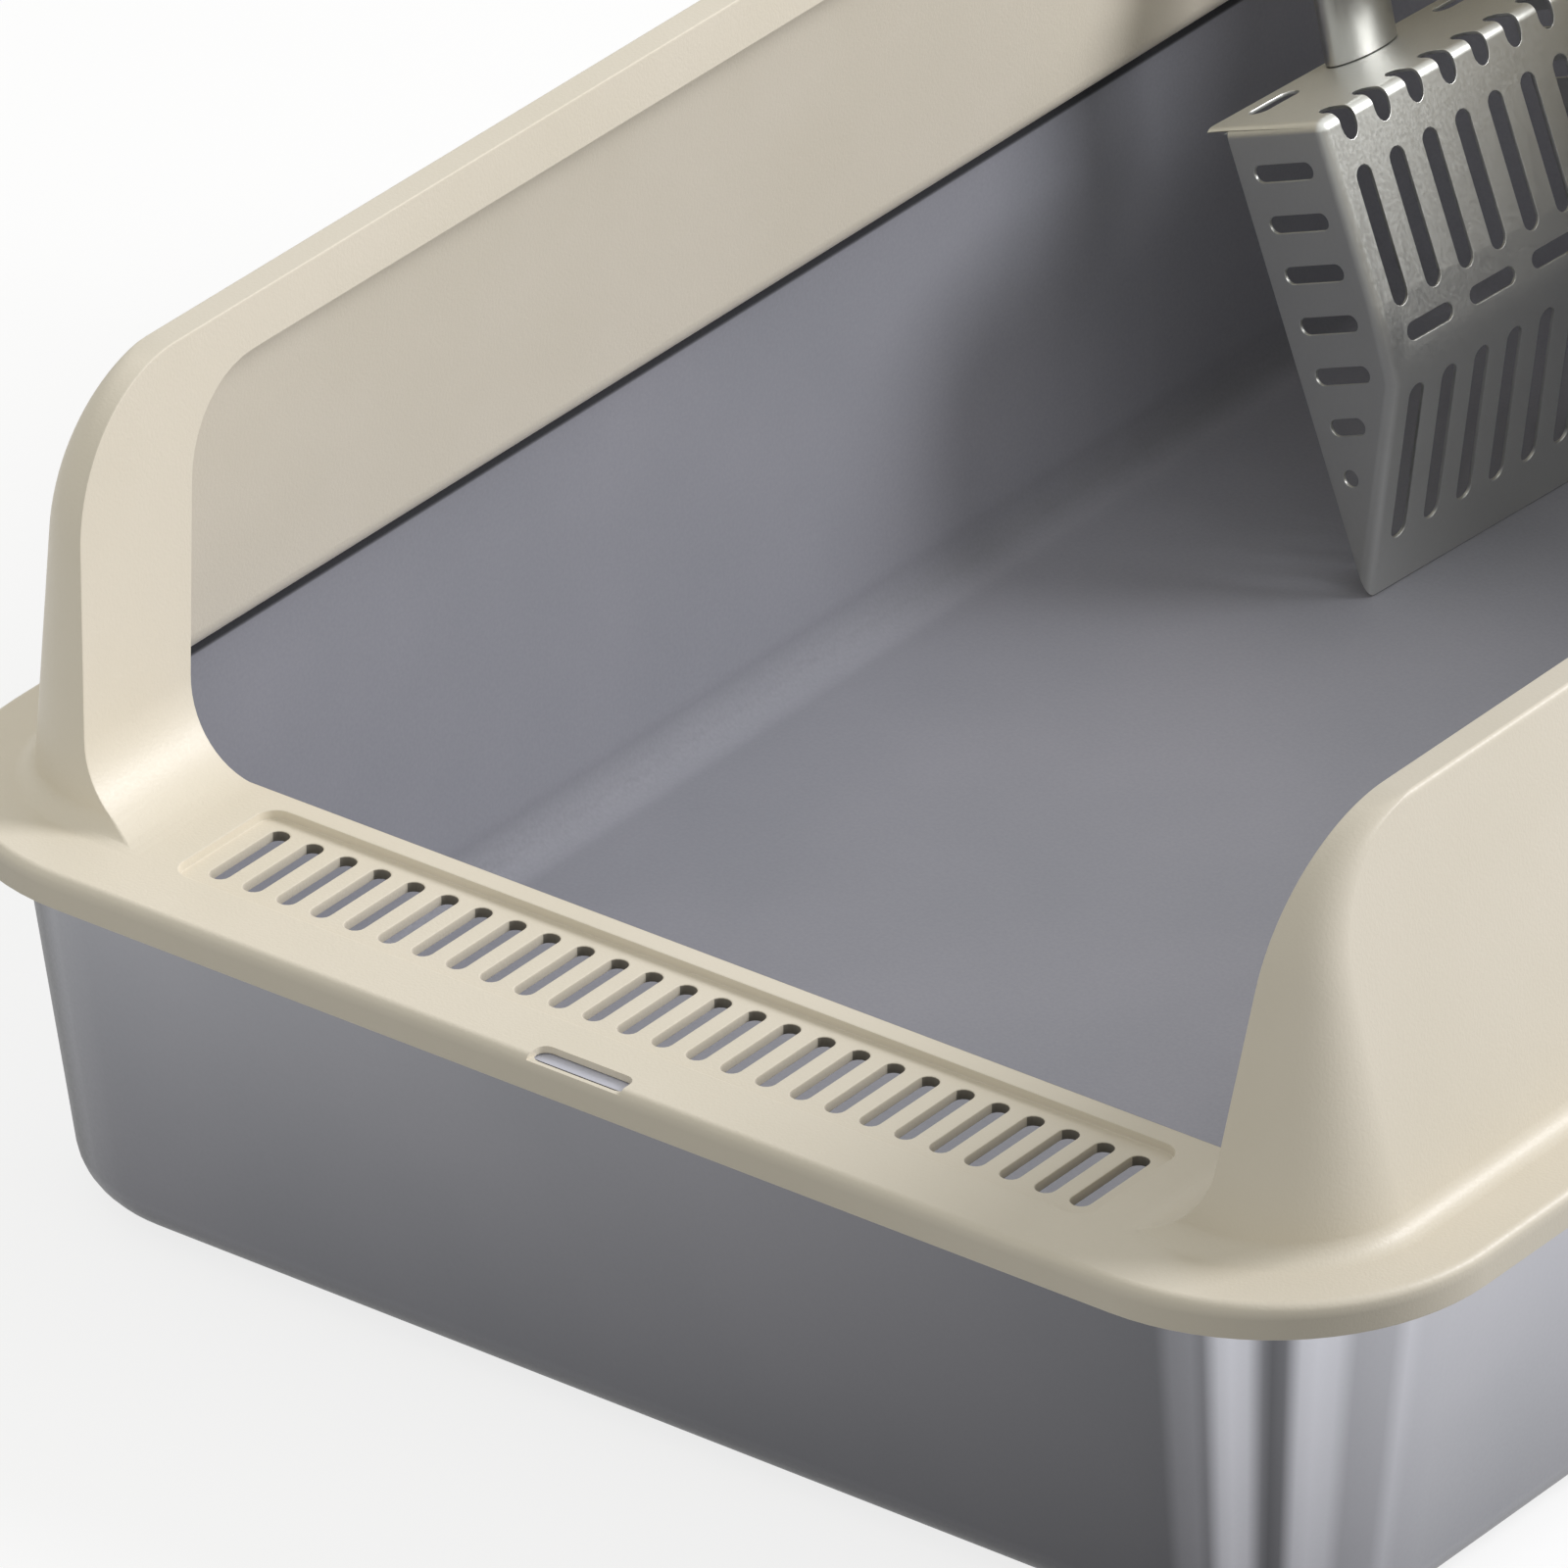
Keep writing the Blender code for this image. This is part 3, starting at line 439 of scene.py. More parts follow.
def corner_share(tree, axes, radius):
    """How far round a corner of the box a place is: zero on the ends, one on the sides."""
    past = []
    for axis, half in (("X", HALF_WIDTH), ("Y", HALF_LENGTH)):
        away = add_node(tree, "ShaderNodeMath", None, {0: axes.outputs[axis]},
                        operation="ABSOLUTE")
        beyond = add_node(tree, "ShaderNodeMath", {1: half - radius}, {0: away.outputs[0]},
                          operation="SUBTRACT")
        past.append(add_node(tree, "ShaderNodeMath", {1: 0.0}, {0: beyond.outputs[0]},
                             operation="MAXIMUM").outputs[0])
    angle = add_node(tree, "ShaderNodeMath", None, {0: past[0], 1: past[1]}, operation="ARCTAN2")
    return add_node(tree, "ShaderNodeMath", {1: 2 / pi}, {0: angle.outputs[0]},
                    operation="MULTIPLY").outputs[0]


def corner_stops(bands):
    return [(degree / 90, grey(value)) for degree, value in bands]


def shade_colour(tree, levels):
    """Multiply the colour of the material's shader by each brightness, painting light and shade
    into it.
    """
    colour = tree.nodes["Principled BSDF"].inputs["Base Color"]
    for level in levels:
        tinted = add_node(tree, "ShaderNodeMix", {0: 1.0},
                          {6: colour.links[0].from_socket, 7: level},
                          data_type="RGBA", blend_type="MULTIPLY", clamp_result=False)
        tree.links.new(tinted.outputs[2], colour)


def pan_steel():
    """Deep-drawn steel, duller inside, with painted reflections and painted shade.

    Painted reflections band its corners and make its ends darker than its sides; painted shade
    darkens it low down, at its bottom edge and over the inner round at its floor. A painted shadow
    makes a dark line under the flange, and the flange itself has painted light.
    """
    material = satin_steel("satin stainless steel, deep drawn", *PAN_FINISH, [STEEL_GRAIN] * 3)
    tree = material.node_tree
    where = add_node(tree, "ShaderNodeTexCoord")
    axes = add_node(tree, "ShaderNodeSeparateXYZ", None, {"Vector": where.outputs["Object"]})
    # Painted reflections: light and dark bands round the corners, the ends darker than the sides
    share = corner_share(tree, axes, PAN_CORNER + PAN_WALL_INSET)
    striped, plain = (
        add_node(tree, "ShaderNodeValToRGB", None, {"Fac": share}, corner_stops(bands)).outputs[0]
        for bands in (STRIPED_REFLECTIONS, PLAIN_REFLECTIONS))
    side = add_node(tree, "ShaderNodeMath", None, {0: axes.outputs["X"], 1: axes.outputs["Y"]},
                    operation="MULTIPLY")
    crossed = add_node(tree, "ShaderNodeMapRange",
                       between((-CORNER_REACH, CORNER_REACH), (1.0, 0.0)),
                       {"Value": side.outputs[0]})
    outer = add_node(tree, "ShaderNodeMix", None,
                     {0: crossed.outputs[0], 2: plain, 3: striped}).outputs[0]
    # Painted shade towards the bottom and on the bottom edge
    for limits, levels in (((0.0, LEDGE_TOP), (LOW_PAINTED_SHADE, 1.0)),
                           ((EDGE_LOW, EDGE_HIGH), (EDGE_PAINTED_SHADE, 1.0))):
        rise = add_node(tree, "ShaderNodeMapRange", between(limits, levels),
                        {"Value": axes.outputs["Z"]})
        outer = add_node(tree, "ShaderNodeMath", None, {0: outer, 1: rise.outputs[0]},
                         operation="MULTIPLY").outputs[0]
    # Painted shade over the round at the floor inside
    levels = [(PAN_BOTTOM + SHEET + PAN_BOTTOM_ROUND * part, value) for part, value in ROUND_PAINTED_SHADES]
    # Painted shadow line under the flange, then painted light on the flange
    levels += [(LEDGE_TOP - FOLD_SHADOW_DROP - TOUCH_GAP, 1.0), (LEDGE_TOP - FOLD_SHADOW_DROP, FOLD_PAINTED_SHADOW),
               (PAN_FLANGE_TOP - SHEET / 2, FOLD_PAINTED_SHADOW), (PAN_FLANGE_TOP - SHEET / 8, FLANGE_PAINTED_LIGHT)]
    height = add_node(tree, "ShaderNodeMath", {1: 1 / LEDGE_TOP}, {0: axes.outputs["Z"]},
                      operation="MULTIPLY")
    lines = add_node(tree, "ShaderNodeValToRGB", None, {"Fac": height.outputs[0]},
                     [(z / LEDGE_TOP, grey(value)) for z, value in levels])
    inner = add_node(tree, "ShaderNodeMath", {1: INNER_PAINTED_SHADE}, {0: lines.outputs[0]},
                     operation="MULTIPLY")
    # A face whose front looks away from the middle of the pan's mouth is outside
    middle = add_node(tree, "ShaderNodeVectorMath", {1: (0.0, 0.0, LEDGE_TOP)},
                      {0: where.outputs["Object"]}, operation="SUBTRACT")
    facing = add_node(tree, "ShaderNodeVectorMath", None,
                      {0: middle.outputs[0], 1: where.outputs["Normal"]}, operation="DOT_PRODUCT")
    outside = add_node(tree, "ShaderNodeMath", {1: 0.0}, {0: facing.outputs["Value"]},
                       operation="GREATER_THAN").outputs[0]
    shade_colour(tree, [add_node(tree, "ShaderNodeMix", None, {
        0: outside, 2: inner.outputs[0], 3: outer}).outputs[0]])
    roughness = tree.nodes["Principled BSDF"].inputs["Roughness"]
    dull = add_node(tree, "ShaderNodeMapRange", between((0.0, 1.0), (INNER_DULL, 0.0)),
                    {"Value": outside})
    rough = add_node(tree, "ShaderNodeMath", None,
                     {0: roughness.links[0].from_socket, 1: dull.outputs[0]}, operation="ADD")
    tree.links.new(rough.outputs[0], roughness)
    return material


def guard_plastic():
    """Moulded polypropylene: a soft sheen on a fine sandy grain.

    It has painted shade on the skirt, round the skirt's corners, on the level wall tops and in the
    back ends of the slots, and painted light towards the left and on faces turned down.
    """
    material = moulded_plastic("cream polypropylene, moulded", *GUARD_FINISH, PLASTIC_GRAIN,
                               PLASTIC_GRAIN_DEPTH)
    tree = material.node_tree
    where = add_node(tree, "ShaderNodeTexCoord")
    axes = add_node(tree, "ShaderNodeSeparateXYZ", None, {"Vector": where.outputs["Object"]})
    facing = add_node(tree, "ShaderNodeSeparateXYZ", None, {"Vector": where.outputs["Normal"]})
    # Painted shade round the skirt's corners
    share = corner_share(tree, axes, RIM_CORNER)
    bands = add_node(tree, "ShaderNodeValToRGB", None, {"Fac": share}, corner_stops(SKIRT_CORNER_PAINTED_SHADE))
    corner = add_node(tree, "ShaderNodeMath", {1: SKIRT_PAINTED_SHADE}, {0: bands.outputs[0]},
                      operation="MULTIPLY")
    upright = add_node(tree, "ShaderNodeMath", None, {0: facing.outputs["Z"]},
                       operation="ABSOLUTE")
    # Painted light towards the left and shade towards the right, painted shade on the skirt,
    # painted light on faces turned down
    across, skirt, level, under, level_part = (
        add_node(tree, "ShaderNodeMapRange", between(limits, levels), {"Value": measure}).outputs[0]
        for measure, limits, levels in (
            (axes.outputs["X"], (-HALF_WIDTH, HALF_WIDTH), (LEFT_PAINTED_LIGHT, RIGHT_PAINTED_SHADE)),
            (axes.outputs["Z"], SKIRT_TOP, (1.0, 0.0)),
            (upright.outputs[0], SKIRT_LIMITS, (1.0, 0.0)),
            (facing.outputs["Z"], UNDER_LIMITS, (UNDER_PAINTED_LIGHT, 1.0)),
            (facing.outputs["Z"], (LEVEL_LIMIT, 1.0), (0.0, 1.0))))
    shaded = add_node(tree, "ShaderNodeMath", None, {0: skirt, 1: level}, operation="MULTIPLY")
    outer = add_node(tree, "ShaderNodeMix", {2: 1.0}, {0: shaded.outputs[0], 3: corner.outputs[0]})
    shades = [across, outer.outputs[0], under]
    # Painted shadow in the back ends of the slots
    slot_end = ((axes.outputs["Y"], FRONT + GRATE_FRONT, "GREATER_THAN"),
                (axes.outputs["Y"], FRONT + SILL_DEPTH, "LESS_THAN"),
                (axes.outputs["Z"], LEDGE_TOP - GRATE_SINK - TOUCH_GAP, "LESS_THAN"),
                (facing.outputs["Y"], SLOT_END_LIMIT, "LESS_THAN"),
                (share, CORNER_START, "LESS_THAN"))
    # Painted shade on the level wall tops
    crest = ((axes.outputs["Z"], LEDGE_TOP + WALL_RISE / 2, "GREATER_THAN"),)
    for mask, tests, value in ((None, slot_end, SLOT_END_PAINTED_SHADOW), (level_part, crest, TOP_PAINTED_SHADE)):
        for measure, limit, kind in tests:
            test = add_node(tree, "ShaderNodeMath", {1: limit}, {0: measure},
                            operation=kind).outputs[0]
            mask = test if mask is None else add_node(
                tree, "ShaderNodeMath", None, {0: mask, 1: test}, operation="MULTIPLY").outputs[0]
        shades.append(add_node(tree, "ShaderNodeMapRange", between((0.0, 1.0), (1.0, value)),
                               {"Value": mask}).outputs[0])
    shade_colour(tree, shades)
    return material


def scoop_steel():
    """Folded satin sheet: even and soft in gloss, with painted shade on its sides and painted light
    on its slope.
    """
    material = satin_steel("satin stainless steel, folded", *SCOOP_FINISH, [STEEL_GRAIN] * 3)
    tree = material.node_tree
    where = add_node(tree, "ShaderNodeTexCoord")
    facing = add_node(tree, "ShaderNodeSeparateXYZ", None, {"Vector": where.outputs["Normal"]})
    sideways = add_node(tree, "ShaderNodeMath", None, {0: facing.outputs["Y"]},
                        operation="ABSOLUTE")
    # Painted shade on the sides, painted light on the downward slope
    shade_colour(tree, [
        add_node(tree, "ShaderNodeMapRange", between(limits, levels), {"Value": measure}).outputs[0]
        for measure, limits, levels in (
            (sideways.outputs[0], SCOOP_SIDE_LIMITS, (1.0, SCOOP_SIDE_PAINTED_SHADE)),
            (facing.outputs["Z"], SCOOP_SLOPE_LIMITS, (SCOOP_SLOPE_PAINTED_LIGHT, 1.0)))])
    return material


def handle_steel():
    """Drawn tube: glossier, with faint lines that run up it."""
    return satin_steel("satin stainless steel tube, drawn", *TUBE_FINISH,
                       (TUBE_LINE_WIDTH, TUBE_LINE_WIDTH, TUBE_LINE_LENGTH))


def plug_plastic():
    """Moulded polypropylene: dark, with a weak sheen."""
    return moulded_plastic("dark grey polypropylene, moulded", *PLUG_FINISH, PLUG_GRAIN,
                           SOFT_GRAIN_DEPTH)


def foot_rubber():
    """Moulded silicone rubber: matte and even."""
    return moulded_plastic("grey silicone rubber, moulded", *FOOT_FINISH, PLASTIC_GRAIN,
                           SOFT_GRAIN_DEPTH)


def add_object(name, mesh, material=None):
    """Shown pieces take a material, cutters take none."""
    body = bpy.data.objects.new(name, mesh)
    if material is None:
        CUTTERS.objects.link(body)
        body.hide_render = True
    else:
        PARTS.objects.link(body)
        mesh.materials.append(material)
    return body


def mesh_from(name, points, faces):
    """A closed mesh with its faces turned outwards."""
    mesh = bpy.data.meshes.new(name)
    mesh.from_pydata(points, [], faces)
    shape = bmesh.new()
    shape.from_mesh(mesh)
    bmesh.ops.recalc_face_normals(shape, faces=shape.faces)
    shape.to_mesh(mesh)
    shape.free()
    return mesh


def side_faces(count, low, high):
    """Faces between two rings of points, whose numbers start at low and high."""
    return [(low + step, low + (step + 1) % count, high + (step + 1) % count, high + step)
            for step in range(count)]


def loft(name, rings, material=None, open_top=False):
    """Skin a pile of equal rings, the first at the bottom."""
    count = len(rings[0])
    points = [point for ring in rings for point in ring]
    faces = [tuple(reversed(range(count)))]
    for level in range(len(rings) - 1):
        faces += side_faces(count, level * count, (level + 1) * count)
    if not open_top:
        faces.append(tuple(range(len(points) - count, len(points))))
    mesh = bpy.data.meshes.new(name)
    mesh.from_pydata(points, [], faces)
    return add_object(name, mesh, material)


def corner_ring(half_x, front, back, front_radius, back_radius, height):
    """A rounded rectangle, counterclockwise from the corner at +X and +Y."""
    ring = []
    corners = ((half_x, back, back_radius), (-half_x, back, back_radius),
               (-half_x, front, front_radius), (half_x, front, front_radius))
    for turn, (corner_x, corner_y, radius) in enumerate(corners):
        middle_x = corner_x - copysign(radius, corner_x)
        middle_y = corner_y - radius if turn < 2 else corner_y + radius
        for step in range(CORNER_STEPS + 1):
            angle = (turn + step / CORNER_STEPS) * pi / 2
            ring.append((middle_x + radius * cos(angle),
                         middle_y + radius * sin(angle), height))
    return ring


def quarter_round(radius, steps):
    """A quarter circle as (run, rise) points, from straight up to level."""
    angles = [pi / 2 * step / steps for step in range(steps + 1)]
    return [(radius * (1.0 - cos(angle)), radius * (1.0 - sin(angle))) for angle in angles]


def even_ring(inset, radius, height):
    return corner_ring(HALF_WIDTH - inset, FRONT + inset, BACK - inset, radius, radius, height)


def subtract(body, cutter):
    step = body.modifiers.new("cut " + cutter.name, "BOOLEAN")
    step.operation = "DIFFERENCE"
    step.solver = "EXACT"
    step.object = cutter


def unite(body, added):
    step = body.modifiers.new("join " + added.name, "BOOLEAN")
    step.operation = "UNION"
    step.solver = "EXACT"
    step.object = added


def shade_smooth_by_angle(body, limit):
    """Round faces smooth, sharp edges kept."""
    shape = bmesh.new()
    shape.from_mesh(body.data)
    for face in shape.faces:
        face.smooth = True
    for edge in shape.edges:
        edge.smooth = edge.calc_face_angle(pi) < limit
    shape.to_mesh(body.data)
    shape.free()


def leaning_roll(foot, lean, radius, top, offset, steps):
    """A line leaning back from its foot, rolled over into a level top.

    Gives (y, height) pairs from the end of the straight run to the level top.
    """
    slope = sqrt(1.0 + lean * lean)
    height = top - radius + radius * lean / slope
    middle_y = foot + lean * height + radius / slope
    middle_height = top - radius
    start = pi - atan(lean)
    pairs = []
    for step in range(steps + 1):
        angle = start + (pi / 2 - start) * step / steps
        pairs.append((middle_y + (radius - offset) * cos(angle),
                      middle_height + (radius - offset) * sin(angle)))
    return pairs


def build_pan():
    """One drawn sheet: flange, four drafted walls and a flat floor."""
    floor = PAN_BOTTOM
    round_bottom = PAN_BOTTOM_ROUND
    drop_to_round = PAN_DEPTH - PAN_WALL_DROP - round_bottom
    lean_angle = atan(PAN_DRAFT)
    tangent_inset = PAN_WALL_INSET + PAN_DRAFT * drop_to_round
    rings = []
    for step in range(ROUND_STEPS + 1):
        angle = (pi / 2 - lean_angle) * step / ROUND_STEPS
        inset = tangent_inset + round_bottom * (cos(lean_angle) - sin(angle))
        height = floor + round_bottom * (1.0 - cos(angle))
        rings.append((inset, height))
    wall_top = PAN_FLANGE_TOP - SHEET - PAN_FLANGE_BEND
    rise = wall_top - (LEDGE_TOP - PAN_WALL_DROP)
    top_inset = PAN_WALL_INSET - PAN_DRAFT * rise
    rings.append((top_inset, wall_top))
    rings += [(top_inset - run, wall_top + PAN_FLANGE_BEND - rise)
              for run, rise in quarter_round(PAN_FLANGE_BEND, ROUND_STEPS)[1:]]
    rings.append((PAN_FLANGE_INSET, PAN_FLANGE_TOP - SHEET))
    corner = PAN_CORNER + PAN_WALL_INSET
    levels = [even_ring(inset, corner - inset, height) for inset, height in rings[:-1]]
    levels.append(even_ring(PAN_FLANGE_INSET, RIM_CORNER - PAN_FLANGE_INSET, rings[-1][1]))
    pan = loft("pan_sheet", levels, pan_steel(), open_top=True)
    shell = pan.modifiers.new("sheet", "SOLIDIFY")
    shell.thickness = SHEET
    shell.offset = -1.0
    shell.use_even_offset = True
    shade_smooth_by_angle(pan, FOLD_LIMIT)
    return pan


def wall_level(front, rise, offset, flare, edge):
    """One ring of the guard's wall block, rise counted from the ledge."""
    lean_rise = max(rise, 0.0)
    share = lean_rise / WALL_RISE
    rounding = max(rise - (WALL_RISE - edge), 0.0)
    tuck = edge - sqrt(max(edge * edge - rounding * rounding, 0.0))
    inward = SIDE_LEAN * lean_rise + offset + tuck - flare
    front_radius = FRONT_CORNER_FOOT + (FRONT_CORNER_TOP - FRONT_CORNER_FOOT) * share
    back_radius = BACK_CORNER_FOOT + (BACK_CORNER_TOP - BACK_CORNER_FOOT) * share
    return corner_ring(WALL_HALF - inward, front, BACK - SIDE_LEDGE - inward,
                       max(front_radius + flare - offset - tuck, SHARP_CORNER),
                       back_radius + flare - offset - tuck, LEDGE_TOP + rise)


def wall_block(name, offset, foot_rings, edge, material=None):
    """Walls as a solid block: a leaning front rolled over into the level top."""
    foot = FRONT + FRONT_LEDGE
    slope = sqrt(1.0 + FRONT_LEAN * FRONT_LEAN)
    rings = []
    for rise, flare in foot_rings:
        front = foot + FRONT_LEAN * max(rise, 0.0) + offset * slope - flare
        rings.append(wall_level(front, rise, offset, flare, edge))
    for front, rise in leaning_roll(foot, FRONT_LEAN, FRONT_ROLL, WALL_RISE, offset, ROLL_STEPS):
        rings.append(wall_level(front, rise, offset, 0.0, edge))
    return loft(name, rings, material)


def round_below():
    """Foot rings of the walls' hollow, wider at the ledge's underside by a round."""
    return [(-CUT_REACH, UNDER_ROUND)] + [
        (run - PLATE - SKIN_CLEAR, rise) for run, rise in quarter_round(UNDER_ROUND, ROUND_STEPS)]


def outer_walls():
    """The block outside, with a fillet where it meets the ledge."""
    fillet = [(-MERGE_DEPTH, FOOT_FILLET)] + quarter_round(FOOT_FILLET, ROUND_STEPS)
    return wall_block("guard outer walls", 0.0, fillet, TOP_EDGE_ROUND)


def opening_block(name, offset, below):
    """The space between the walls, round where its sides meet the sill."""
    slope = sqrt(1.0 + OPENING_LEAN * OPENING_LEAN)
    tangent_rise = SILL_FILLET * (1.0 - OPENING_LEAN / slope)
    middle_x = OPENING_FOOT + OPENING_LEAN * tangent_rise - SILL_FILLET / slope
    radius = SILL_FILLET + offset
    last = pi / 2 - atan(OPENING_LEAN)
    pairs = []
    for step in range(FILLET_STEPS + 1):
        angle = last * step / FILLET_STEPS
        pairs.append((middle_x + radius * sin(angle), SILL_FILLET - radius * cos(angle)))
    if below > 0.0:
        run = (pairs[1][0] - pairs[0][0]) / (pairs[1][1] - pairs[0][1])
        pairs.insert(0, (pairs[0][0] - run * below, pairs[0][1] - below))
    above = WALL_RISE + CUT_REACH
    pairs.append((OPENING_FOOT + OPENING_LEAN * above + offset * slope, above))
    back_top = BACK - SIDE_LEDGE - SIDE_LEAN * WALL_RISE - BACK_STRIP
    rings = []
    for half_x, rise in pairs:
        back = back_top - OPENING_LEAN * (WALL_RISE - rise) + offset * slope
        rings.append(corner_ring(half_x, FRONT - CUT_REACH, back, SHARP_CORNER,
                                 OPENING_BACK_CORNER + offset, LEDGE_TOP + rise))
    return loft(name, rings)


def under_band_block():
    """The space below the hanging band and behind the inner edge of the front posts."""
    foot = FRONT + SILL_DEPTH
    back = (BACK - SIDE_LEDGE - SIDE_LEAN * WALL_RISE - BACK_STRIP
            + HOLLOW_BACK_REACH)
    pairs = [(foot, -CUT_REACH), (foot, 0.0)]
    pairs += leaning_roll(foot, BAND_EDGE_LEAN, BAND_EDGE_ROUND, WALL_RISE - BAND_DROP,
                          0.0, ROUND_STEPS + 2)
    rings = [corner_ring(HOLLOW_HALF, front, back, SHARP_CORNER, HOLLOW_BACK_CORNER,
                         LEDGE_TOP + rise) for front, rise in pairs]
    return loft("space under band", rings)


def ledge_solid(material):
    """The flat ledge with its skirt, still without openings."""
    rings = [even_ring(0.0, RIM_CORNER, LEDGE_TOP - SKIRT_DROP)]
    rings += [even_ring(inset, RIM_CORNER - inset, LEDGE_TOP - drop)
              for inset, drop in quarter_round(LEDGE_EDGE_ROUND, ROUND_STEPS - 1)]
    return loft("guard_moulding", rings, material)


def skirt_hollow():
    low = LEDGE_TOP - SKIRT_DROP - CUT_REACH
    high = LEDGE_TOP - PLATE
    return loft("skirt hollow", [even_ring(SKIRT_WALL, RIM_CORNER - SKIRT_WALL, height)
                                 for height in (low, high)])


def pill_outline(length, width, steps):
    """Round-ended slot outline along its own first axis, centred on zero."""
    radius = width / 2
    reach = length / 2 - radius
    outline = []
    for end, start in ((reach, -pi / 2), (-reach, pi / 2)):
        for step in range(steps + 1):
            angle = start + pi * step / steps
            outline.append((end + radius * cos(angle), radius * sin(angle)))
    return outline


def pill_cutter(name, places, steps):
    """Slot cutters in one mesh.

    A place gives a centre, the long, the cross and the through axis, length,
    width and how far the cutter reaches on both sides.
    """
    points = []
    faces = []
    for centre, along, across, through, length, width, reach in places:
        outline = pill_outline(length, width, steps)
        first = len(points)
        count = len(outline)
        for side in (-reach, reach):
            for run, offset in outline:
                points.append(tuple(centre + along * run + across * offset + through * side))
        faces.append(tuple(reversed(range(first, first + count))))
        faces.append(tuple(range(first + count, first + 2 * count)))
        faces += side_faces(count, first, first + count)
    return add_object(name, mesh_from(name, points, faces))


def grate_block(name, border, low, high):
    """The grate's outline between two heights counted from the ledge."""
    corner = GRATE_CORNER + border
    return loft(name, [corner_ring(GRATE_HALF + border, FRONT + GRATE_FRONT - border,
                                   FRONT + GRATE_BACK + border, corner, corner,
                                   LEDGE_TOP + height) for height in (low, high)])


def grate_slots():
    middle = FRONT + (SLOT_FRONT + SLOT_BACK) / 2
    reach = GRATE_SINK + GRATE_THICKNESS + PLATE
    places = []
    for column in range(SLOT_COUNT):
        x = (column - (SLOT_COUNT - 1) / 2) * SLOT_PITCH
        places.append((Vector((x, middle, LEDGE_TOP)), Y_WAY, -X_WAY, Z_WAY,
                       SLOT_BACK - SLOT_FRONT, SLOT_WIDTH, reach))
    return pill_cutter("grate slots", places, SLOT_END_STEPS)


def snap_window():
    middle = FRONT + (WINDOW_FRONT + WINDOW_BACK) / 2
    place = (Vector((0, middle, LEDGE_TOP)), X_WAY, Y_WAY, Z_WAY, WINDOW_HALF * 2,
             WINDOW_BACK - WINDOW_FRONT, WINDOW_DEPTH)
    return pill_cutter("snap window", [place], SLOT_END_STEPS)


def window_lip():
    """Lowers the narrow strip between the window and the skirt's face."""
    back = FRONT + (WINDOW_FRONT + WINDOW_BACK) / 2
    return loft("window lip", [corner_ring(WINDOW_HALF, FRONT - WINDOW_DEPTH, back, SHARP_CORNER,
                                           SHARP_CORNER, LEDGE_TOP + height)
                               for height in (-WINDOW_LIP_DROP, WINDOW_DEPTH)])


def build_guard():
    """One moulding: ledge and skirt joined with hollow walls, then opened."""
    guard = ledge_solid(guard_plastic())
    subtract(guard, skirt_hollow())
    walls = outer_walls()
    subtract(walls, opening_block("wall opening", 0.0, MERGE_DEPTH * 2))
    unite(guard, walls)
    hollow = wall_block("wall hollow", WALL_SKIN, round_below(), 0.0)
    subtract(hollow, opening_block("skin keeper", WALL_SKIN + SKIN_CLEAR, 0.0))
    subtract(guard, hollow)
    subtract(guard, under_band_block())
    unite(guard, grate_block("grate pan", GRATE_BORDER, -GRATE_SINK - GRATE_THICKNESS,
                             -PLATE / 2))
    subtract(guard, grate_block("grate recess", 0.0, -GRATE_SINK, GRATE_SINK))
    subtract(guard, grate_slots())
    return guard


def add_empty(name, parent, location, rotation):
    holder = bpy.data.objects.new(name, None)
    PARTS.objects.link(holder)
    holder.parent = parent
    holder.location = location
    holder.rotation_euler = rotation
    return holder


def scoop_outline(offset):
    """Side view of the bowl as (s, d) points, offset inwards."""
    ramp = atan2(SCOOP_RAMP_DEPTH, SCOOP_RAMP_LENGTH)
    over = SCOOP_CUT_OVER
    tip_s = offset / sin(ramp)
    start = (tip_s - over / SCOOP_RAMP_DEPTH * SCOOP_RAMP_LENGTH, -over)
    knee = atan2(SCOOP_DEPTH - SCOOP_RAMP_DEPTH, SCOOP_KNEE - SCOOP_RAMP_LENGTH)
    half = (ramp + knee) / 2
    pull = offset / cos((ramp - knee) / 2)
    low = (SCOOP_RAMP_LENGTH + pull * sin(half), SCOOP_RAMP_DEPTH - pull * cos(half))
    pull = offset / cos(knee / 2)
    high = (SCOOP_KNEE + pull * sin(knee / 2), SCOOP_DEPTH - pull * cos(knee / 2))
    end = SCOOP_LENGTH - offset
    return [start, low, high, (end, SCOOP_DEPTH - offset), (end, -over)]


def extruded(name, outline, sides):
    """A closed mesh from an (s, d) outline, between two places across the bowl."""
    count = len(outline)
    points = [(s, d, w) for w in sides for s, d in outline]
    faces = [tuple(reversed(range(count))), tuple(range(count, 2 * count))]
    return mesh_from(name, points, faces + side_faces(count, 0, count))


def scoop_prism(name, offset, material=None):
    body = add_object(name, extruded(name, scoop_outline(offset), (offset, SCOOP_WIDTH - offset)),
                      material)
    fold = body.modifiers.new("folds", "BEVEL")
    fold.width = SCOOP_FOLD - offset
    fold.segments = SCOOP_FOLD_STEPS
    fold.limit_method = "ANGLE"
    fold.angle_limit = FOLD_LIMIT
    return body


def rim_trim():
    """Cuts the sides level with the rim, and the back plate at its own height."""
    outline = [(-SCOOP_LENGTH, 0.0), (SCOOP_LENGTH - SHEET, 0.0),
               (SCOOP_LENGTH - SHEET, -SCOOP_PLATE_RISE),
               (SCOOP_LENGTH + SCOOP_CUT_OVER, -SCOOP_PLATE_RISE),
               (SCOOP_LENGTH + SCOOP_CUT_OVER, -SCOOP_CUT_OVER * 2),
               (-SCOOP_LENGTH, -SCOOP_CUT_OVER * 2)]
    sides = (-SCOOP_CUT_OVER, SCOOP_WIDTH + SCOOP_CUT_OVER)
    return add_object("rim trim", extruded("rim trim", outline, sides))


